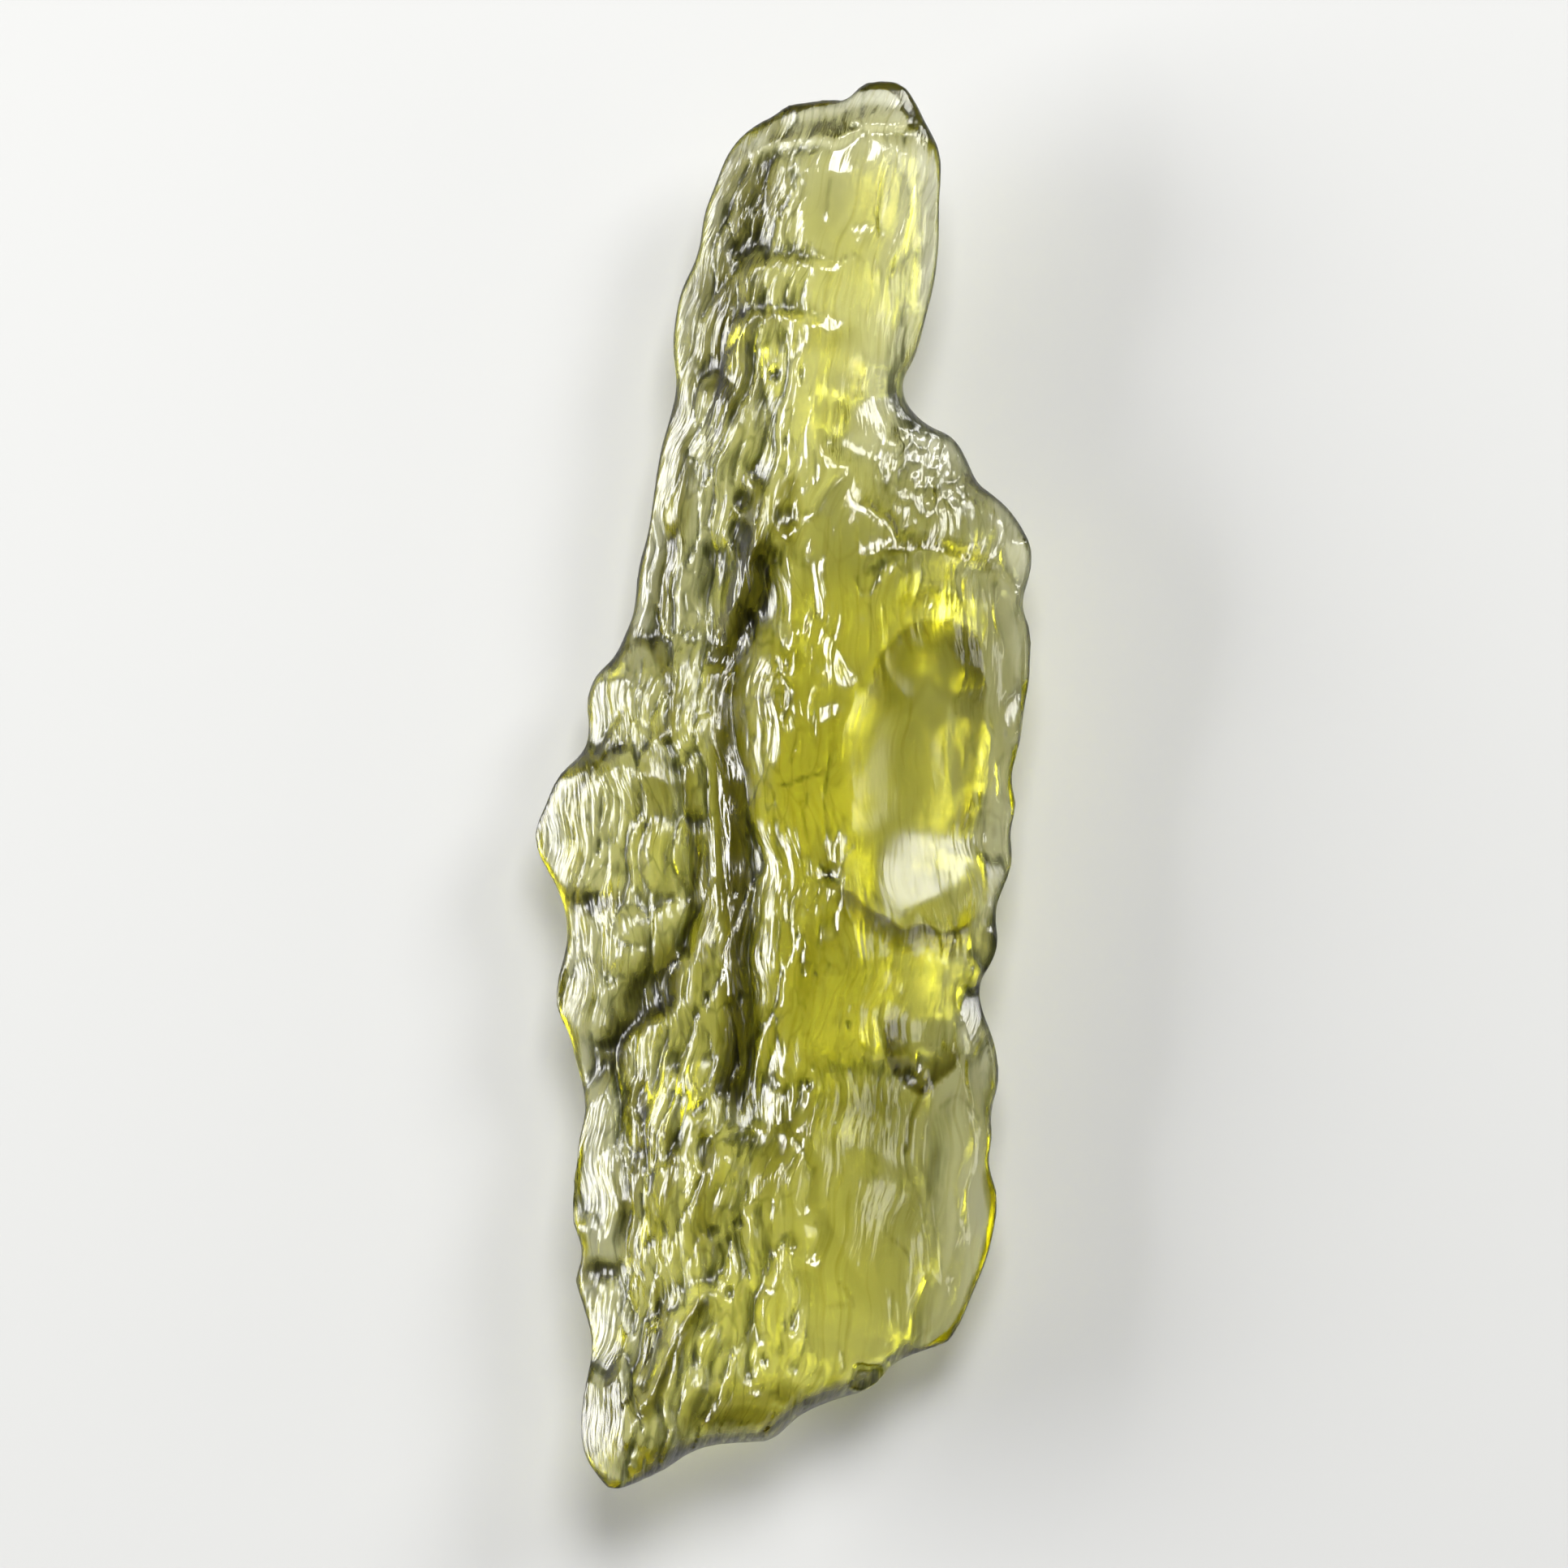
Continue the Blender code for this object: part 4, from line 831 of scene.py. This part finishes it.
def glassMaterial(settings):
    material = bpy.data.materials.new("moldaviteGlass")
    material.use_nodes = True
    shader = material.node_tree.nodes["Principled BSDF"]
    put, node, number = treeTools(material.node_tree)
    own = node("ShaderNodeTexCoord").outputs["Object"]
    rise = number("DIVIDE", node("ShaderNodeSeparateXYZ", inputs={0: own}).outputs[2], settings["streakRise"])

    def attribute(name):
        return node("ShaderNodeAttribute", {"attribute_name": name}).outputs["Fac"]

    def between(share, low, high):
        return node("ShaderNodeMix", {"data_type": "FLOAT"}, {0: share, 2: low, 3: high}).outputs[0]

    def stretched(width, length, up=0.0):
        # flow coordinates in units of one feature's width and length
        across = number("DIVIDE", attribute("flowAcross"), width)
        along = number("DIVIDE", attribute("flowAlong"), length)
        return node("ShaderNodeCombineXYZ", inputs={0: across, 1: along, 2: up}).outputs[0]

    def flowNoise(size):
        # streaks along the flow, read from the stone's own flow attributes in millimetres and its height
        inputs = {"Vector": stretched(*size, rise), "Scale": 1.0, "Detail": 2.0}
        return node("ShaderNodeTexNoise", inputs=inputs).outputs[0]

    def crevices(size):
        # painted shade: fine dark lines between small scales that lie along the flow
        place = stretched(*size)
        stray = node("ShaderNodeTexNoise", inputs={"Vector": place, "Scale": 1.3, "Detail": 1.0})
        moved = node("ShaderNodeVectorMath", {"operation": "MULTIPLY_ADD"}, {
            0: stray.outputs["Color"], 1: settings["creviceStray"], 2: place})
        cells = node("ShaderNodeTexVoronoi", {"voronoi_dimensions": "2D", "feature": "DISTANCE_TO_EDGE"}, {
            "Vector": moved.outputs[0], "Scale": 1.0})
        near = number("SUBTRACT", 1.0, number("DIVIDE", cells.outputs["Distance"], settings["creviceReach"]))
        return number("MAXIMUM", near, 0.0)

    # painted shade darkens the face, streaky along the flow, with painted shade lines between its small
    # scales
    skin, scaly, streaks = attribute("skin"), attribute("scaly"), flowNoise(settings["streakSize"])
    share, least = settings["streakShares"]
    grey = number("MULTIPLY", skin, number("ADD", number("MULTIPLY", streaks, share), least))
    crevice = number("MULTIPLY", crevices(settings["creviceSize"]), scaly)
    grey = number("ADD", grey, number("MULTIPLY", crevice, settings["creviceDarkness"]))

    # the painted shade of strips and spots, and the threads, are olive
    thread = number("SUBTRACT", flowNoise(settings["threadSize"]), settings["threadLevel"])
    thread = number("MULTIPLY", number("MAXIMUM", thread, 0.0), settings["threadDarkness"])
    olive = number("ADD", attribute("shade"), number("MULTIPLY", thread, attribute("face")))
    clear = node("ShaderNodeCombineColor")
    for channel, (darkest, shaded) in enumerate(zip(settings["darkest"], settings["shaded"])):
        through = number("MULTIPLY", number("POWER", darkest, grey), number("POWER", shaded, olive))
        put(clear.inputs[channel], through)
    put(shader.inputs["Base Color"], clear.outputs[0])

    roughness = between(attribute("frost"), settings["clearRoughness"], settings["etchedRoughness"])
    roughness = between(number("MINIMUM", skin, 1.0), roughness, settings["skinRoughness"])
    put(shader.inputs["Roughness"], roughness)
    strength = between(scaly, settings["smoothRipple"], 1.0)
    ripple = node("ShaderNodeBump", inputs={
        "Strength": strength, "Distance": settings["ripple"], "Height": streaks})
    put(shader.inputs["Normal"], ripple.outputs[0])

    put(shader.inputs["Transmission Weight"], 1.0)
    put(shader.inputs["IOR"], settings["ior"])
    depth = node("ShaderNodeVolumeAbsorption", inputs={
        "Color": (*settings["spared"], 1), "Density": settings["density"]})
    put(material.node_tree.nodes["Material Output"].inputs["Volume"], depth.outputs[0])
    return material


# The stone, put together

shaping = {
    "spine": (1.6, 2.4),  # how far right of the flow line the left side starts, and over what width
    "leftStrength": 0.78,  # of the etched relief left of the spine
    "rightStrength": 0.3,
    "backStrength": 0.5,
    "backCalm": 0.8,  # share of the smooth windows that shows on the back
    "thinGlass": 0.2,  # glass thinner than this carries no relief
    "thickening": 1.2,  # and glass this much thicker carries all of it
    "depthEvening": 4,  # smoothing passes over the measured thickness
    "lastEvening": 0.25,  # strength of the one pass over the finished face
    # how far out these marks end, and over what share of their size they fade
    "windowEdge": (1.25, 0.5),
    "crumbEdge": (1.2, 0.5),
    "frostEdge": (1.3, 0.8),
    "shadedSpotEdge": (1.4, 1.1),
    # broken spots: middle X, Y, half width, half length, how crumbly
    "crumbly": [(4.5, 9.6, 1.8, 1.7, 1.0), (0.2, 17.2, 0.6, 1.6, 1.0), (-0.7, -18.4, 2.4, 0.9, 1.0)],
    "steepBelow": 0.75,  # upward part of the normal below which the rim counts as steep
    "steepFade": 0.35,
    "frostGain": 1.2,  # how fast the face gets dull with the strength of the relief
    "scalyGain": 1.6,
    "leftSideShade": 0.06,  # painted shade: how much darker the whole left side is
    "shadedFacing": (0.8, -0.6, 0.0),  # painted shade: flanks that face this way are darker, as if turned away from light at the upper left
    "shadedSlope": 0.55,
    "flankShade": 0.5,
    "flankShadeOnRight": 0.08,  # share of that darkness on the right side
    "flankShadeCleared": 0.6,  # share of it that a smooth window takes away
    # painted shade in recesses: smoothing passes, mm below the smoothed surface at which a recess is fully
    # dark, how dark
    "recesses": [(6, 0.035, 0.6), (40, 0.1, 0.4), (300, 0.4, 0.3)],
    "recessOnPlain": 0.35,  # share of a recess's darkness where there is no relief
    "recessCleared": 0.85,  # share of it that a smooth window takes away
    # painted shade in cracks and pits
    "crackDarkness": 0.22,
    "crackFull": 0.12,  # mm deep, where a crack or pit is fully dark
    "mostShade": 1.2,
    "steepRimShade": 1.2,  # how dark the painted shade on the steep rim is
}


def evenSurface(mesh):
    # evens the remeshed solid, most of all in the smooth windows; calm is how smooth it is at each point
    points = evened(mesh, readPoints(mesh), surface["evening"])
    points[:, 2] = evened(mesh, points[:, 2], surface["heightEvening"])
    calm = strongest(windows, points[:, 0], points[:, 1], *shaping["windowEdge"])
    points[:, 2] += calm * (evened(mesh, points[:, 2], surface["calmEvening"]) - points[:, 2])
    writePoints(mesh, points)
    return points, calm


def surfacePlaces(stone, points, calm):
    # what the relief and the marks go by at each point
    at = SimpleNamespace(x=points[:, 0], y=points[:, 1], calm=calm)
    depths = np.column_stack(glassDepth(stone, points))
    thickness, at.middle = evened(stone.data, depths, shaping["depthEvening"]).T
    upward = readNormals(stone.data)[:, 2]
    at.face = np.where(upward > 0, 1.0, 0.0)
    at.outward = at.face * 2 - 1
    at.steep = smoothStep((shaping["steepBelow"] - np.abs(upward)) / shaping["steepFade"])
    at.room = smoothStep((thickness - shaping["thinGlass"]) / shaping["thickening"])
    at.room = at.room * smoothStep(np.abs(upward) * 3)  # an upright rim has no room for relief
    border, width = shaping["spine"]
    at.left = smoothStep((border - flowAcross(at.x, at.y)) / width)
    at.strength = shaping["rightStrength"] + (shaping["leftStrength"] - shaping["rightStrength"]) * at.left
    at.strength = at.strength * (1 - calm * np.where(at.face > 0.5, 1.0, shaping["backCalm"]))
    at.strength = at.strength * np.where(at.face > 0.5, 1.0, shaping["backStrength"])
    return at


def giveMasks(mesh, at):
    # what the relief's nodes and the glass read at each point
    crumble = strongest(shaping["crumbly"], at.x, at.y, *shaping["crumbEdge"]) * at.face
    frost = strongest(frosted, at.x, at.y, *shaping["frostEdge"]) * at.face
    frost = np.maximum(smoothStep(at.strength * shaping["frostGain"]), frost)
    giveAttribute(mesh, "flowAcross", flowAcross(at.x, at.y) + flowSway(at.x, at.y))
    giveAttribute(mesh, "flowAlong", at.y)
    giveAttribute(mesh, "face", at.face)
    giveAttribute(mesh, "etch", np.maximum(at.room * at.strength, 0.001))  # the nodes divide by it
    giveAttribute(mesh, "crumble", at.room * crumble)
    giveAttribute(mesh, "frost", np.maximum(frost, at.steep))
    giveAttribute(mesh, "scaly", smoothStep(at.strength * shaping["scalyGain"]) * at.face)


def giveShade(mesh, points, at, fineMarks):
    # painted shade: the left side a little darker, and darker on flanks facing away from the light, in
    # recesses, cracks and pits and on the steep rim; then the painted shade of the strips and spots
    facing = evened(mesh, readNormals(mesh), 1) @ np.array(shaping["shadedFacing"])
    zone = shaping["flankShadeOnRight"] + (1 - shaping["flankShadeOnRight"]) * at.left
    flankShading = shaping["flankShade"] * smoothStep(facing / shaping["shadedSlope"])
    skin = shaping["leftSideShade"] * at.left * (1 - at.calm)
    skin = skin + flankShading * zone * (1 - shaping["flankShadeCleared"] * at.calm)
    relieved = shaping["recessOnPlain"] + (1 - shaping["recessOnPlain"]) * at.strength
    calmer, done = points, 0
    for passes, depth, darkness in shaping["recesses"]:
        calmer, done = evened(mesh, calmer, passes - done), passes
        below = evened(mesh, (calmer[:, 2] - points[:, 2]) * at.outward, 1)
        recess = darkness * smoothStep(below / depth)
        skin = skin + recess * relieved * (1 - shaping["recessCleared"] * at.calm)
    skin = skin + shaping["crackDarkness"] * np.clip(-fineMarks / shaping["crackFull"], 0, 1)
    skin = np.clip(skin, 0, shaping["mostShade"])
    giveAttribute(mesh, "skin", skin * at.face + shaping["steepRimShade"] * at.steep)
    strayX, strayY = wandered(at.x, at.y)
    strips = alongPaths(shadows, strayX, strayY, carving["shadowSharpness"])
    spots = strongest(shadedSpots, strayX, strayY, *shaping["shadedSpotEdge"])
    giveAttribute(mesh, "shade", np.maximum(spots, strips) * at.face)


def buildStone():
    stone = roundedSolid(surface)
    points, calm = evenSurface(stone.data)
    print("surface:", len(points), "points")
    at = surfacePlaces(stone, points, calm)
    giveMasks(stone.data, at)
    print("masks done")
    applyTree(stone, reliefTree(relief, glassMaterial(glass)), relief)
    mesh = stone.data
    etching = readPoints(mesh)[:, 2] - points[:, 2]
    heights, fineMarks = carved(points[:, 2], at, etching)
    points[:, 2] = np.maximum(evened(mesh, heights, 1, shaping["lastEvening"]), 0.0)
    writePoints(mesh, points)
    giveShade(mesh, points, at, fineMarks)
    writePoints(mesh, points * mm)
    mesh.shade_smooth()
    print("relief done:", sum(len(p.vertices) - 2 for p in mesh.polygons), "triangles")
    return stone


stone = buildStone()
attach(stone, "root")
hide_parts("moldavite")

# Floor, lights and camera

studio = {
    "floorSize": 1.6,
    "floorDrop": 0.00003,  # the floor lies this far below the stone
    "floorColour": (0.38, 0.38, 0.373),
    "floorRoughness": 0.9,
    "worldColour": (0.045, 0.045, 0.045),
    # name, place, width and height, radiance
    "softboxes": [
        ("farSoftbox", (0.02, 0.175, 0.315), (0.14, 0.15), 25.0),
        ("leftSoftbox", (-0.335, 0.03, 0.135), (0.24, 0.13), 26.0),
        ("farRightSoftbox", (0.22, 0.185, 0.217), (0.13, 0.13), 17.0),
        ("rightSoftbox", (0.34, -0.03, 0.11), (0.12, 0.08), 5.0),
    ],
}


def buildStudio(settings):
    mesh = bpy.data.meshes.new("floor")
    shape = bmesh.new()
    bmesh.ops.create_grid(shape, x_segments=1, y_segments=1, size=settings["floorSize"] / 2)
    shape.to_mesh(mesh)
    shape.free()
    floor = bpy.data.objects.new("floor", mesh)
    floor.location.z = -settings["floorDrop"]
    bpy.context.scene.collection.objects.link(floor)
    paint = bpy.data.materials.new("floorPaint")
    paint.use_nodes = True
    shader = paint.node_tree.nodes["Principled BSDF"]
    shader.inputs["Base Color"].default_value = (*settings["floorColour"], 1)
    shader.inputs["Roughness"].default_value = settings["floorRoughness"]
    mesh.materials.append(paint)
    for name, place, (width, height), radiance in settings["softboxes"]:
        light = bpy.data.lights.new(name, "AREA")
        light.shape = "RECTANGLE"
        light.size = width
        light.size_y = height
        light.energy = radiance * math.pi * width * height
        lamp = bpy.data.objects.new(name, light)
        lamp.location = place
        lamp.rotation_euler = Vector(place).to_track_quat("Z", "Y").to_euler()
        bpy.context.scene.collection.objects.link(lamp)
    world = bpy.data.worlds.new("studio")
    world.use_nodes = True
    world.node_tree.nodes["Background"].inputs["Color"].default_value = (*settings["worldColour"], 1)
    bpy.context.scene.world = world


camera = {
    "frame": 0.04671,  # metres across the whole picture at the stone
    "lens": 200.0,
    "sensor": 36.0,
    "clipStart": 0.01,
    "stoneMiddle": 0.0028,
}


def buildCamera(settings):
    data = bpy.data.cameras.new("camera")
    data.lens = settings["lens"]
    data.sensor_width = settings["sensor"]
    data.clip_start = settings["clipStart"]
    eye = bpy.data.objects.new("camera", data)
    distance = settings["lens"] * settings["frame"] / settings["sensor"]
    eye.location = (0, 0, settings["stoneMiddle"] + distance)
    bpy.context.scene.collection.objects.link(eye)
    bpy.context.scene.camera = eye


def setLook():
    scene = bpy.context.scene
    scene.view_settings.view_transform = "Standard"
    scene.cycles.use_denoising = True
    scene.cycles.max_bounces = 8
    scene.cycles.transmission_bounces = 8
    scene.cycles.glossy_bounces = 4


buildStudio(studio)
buildCamera(camera)
setLook()
print("studio done")
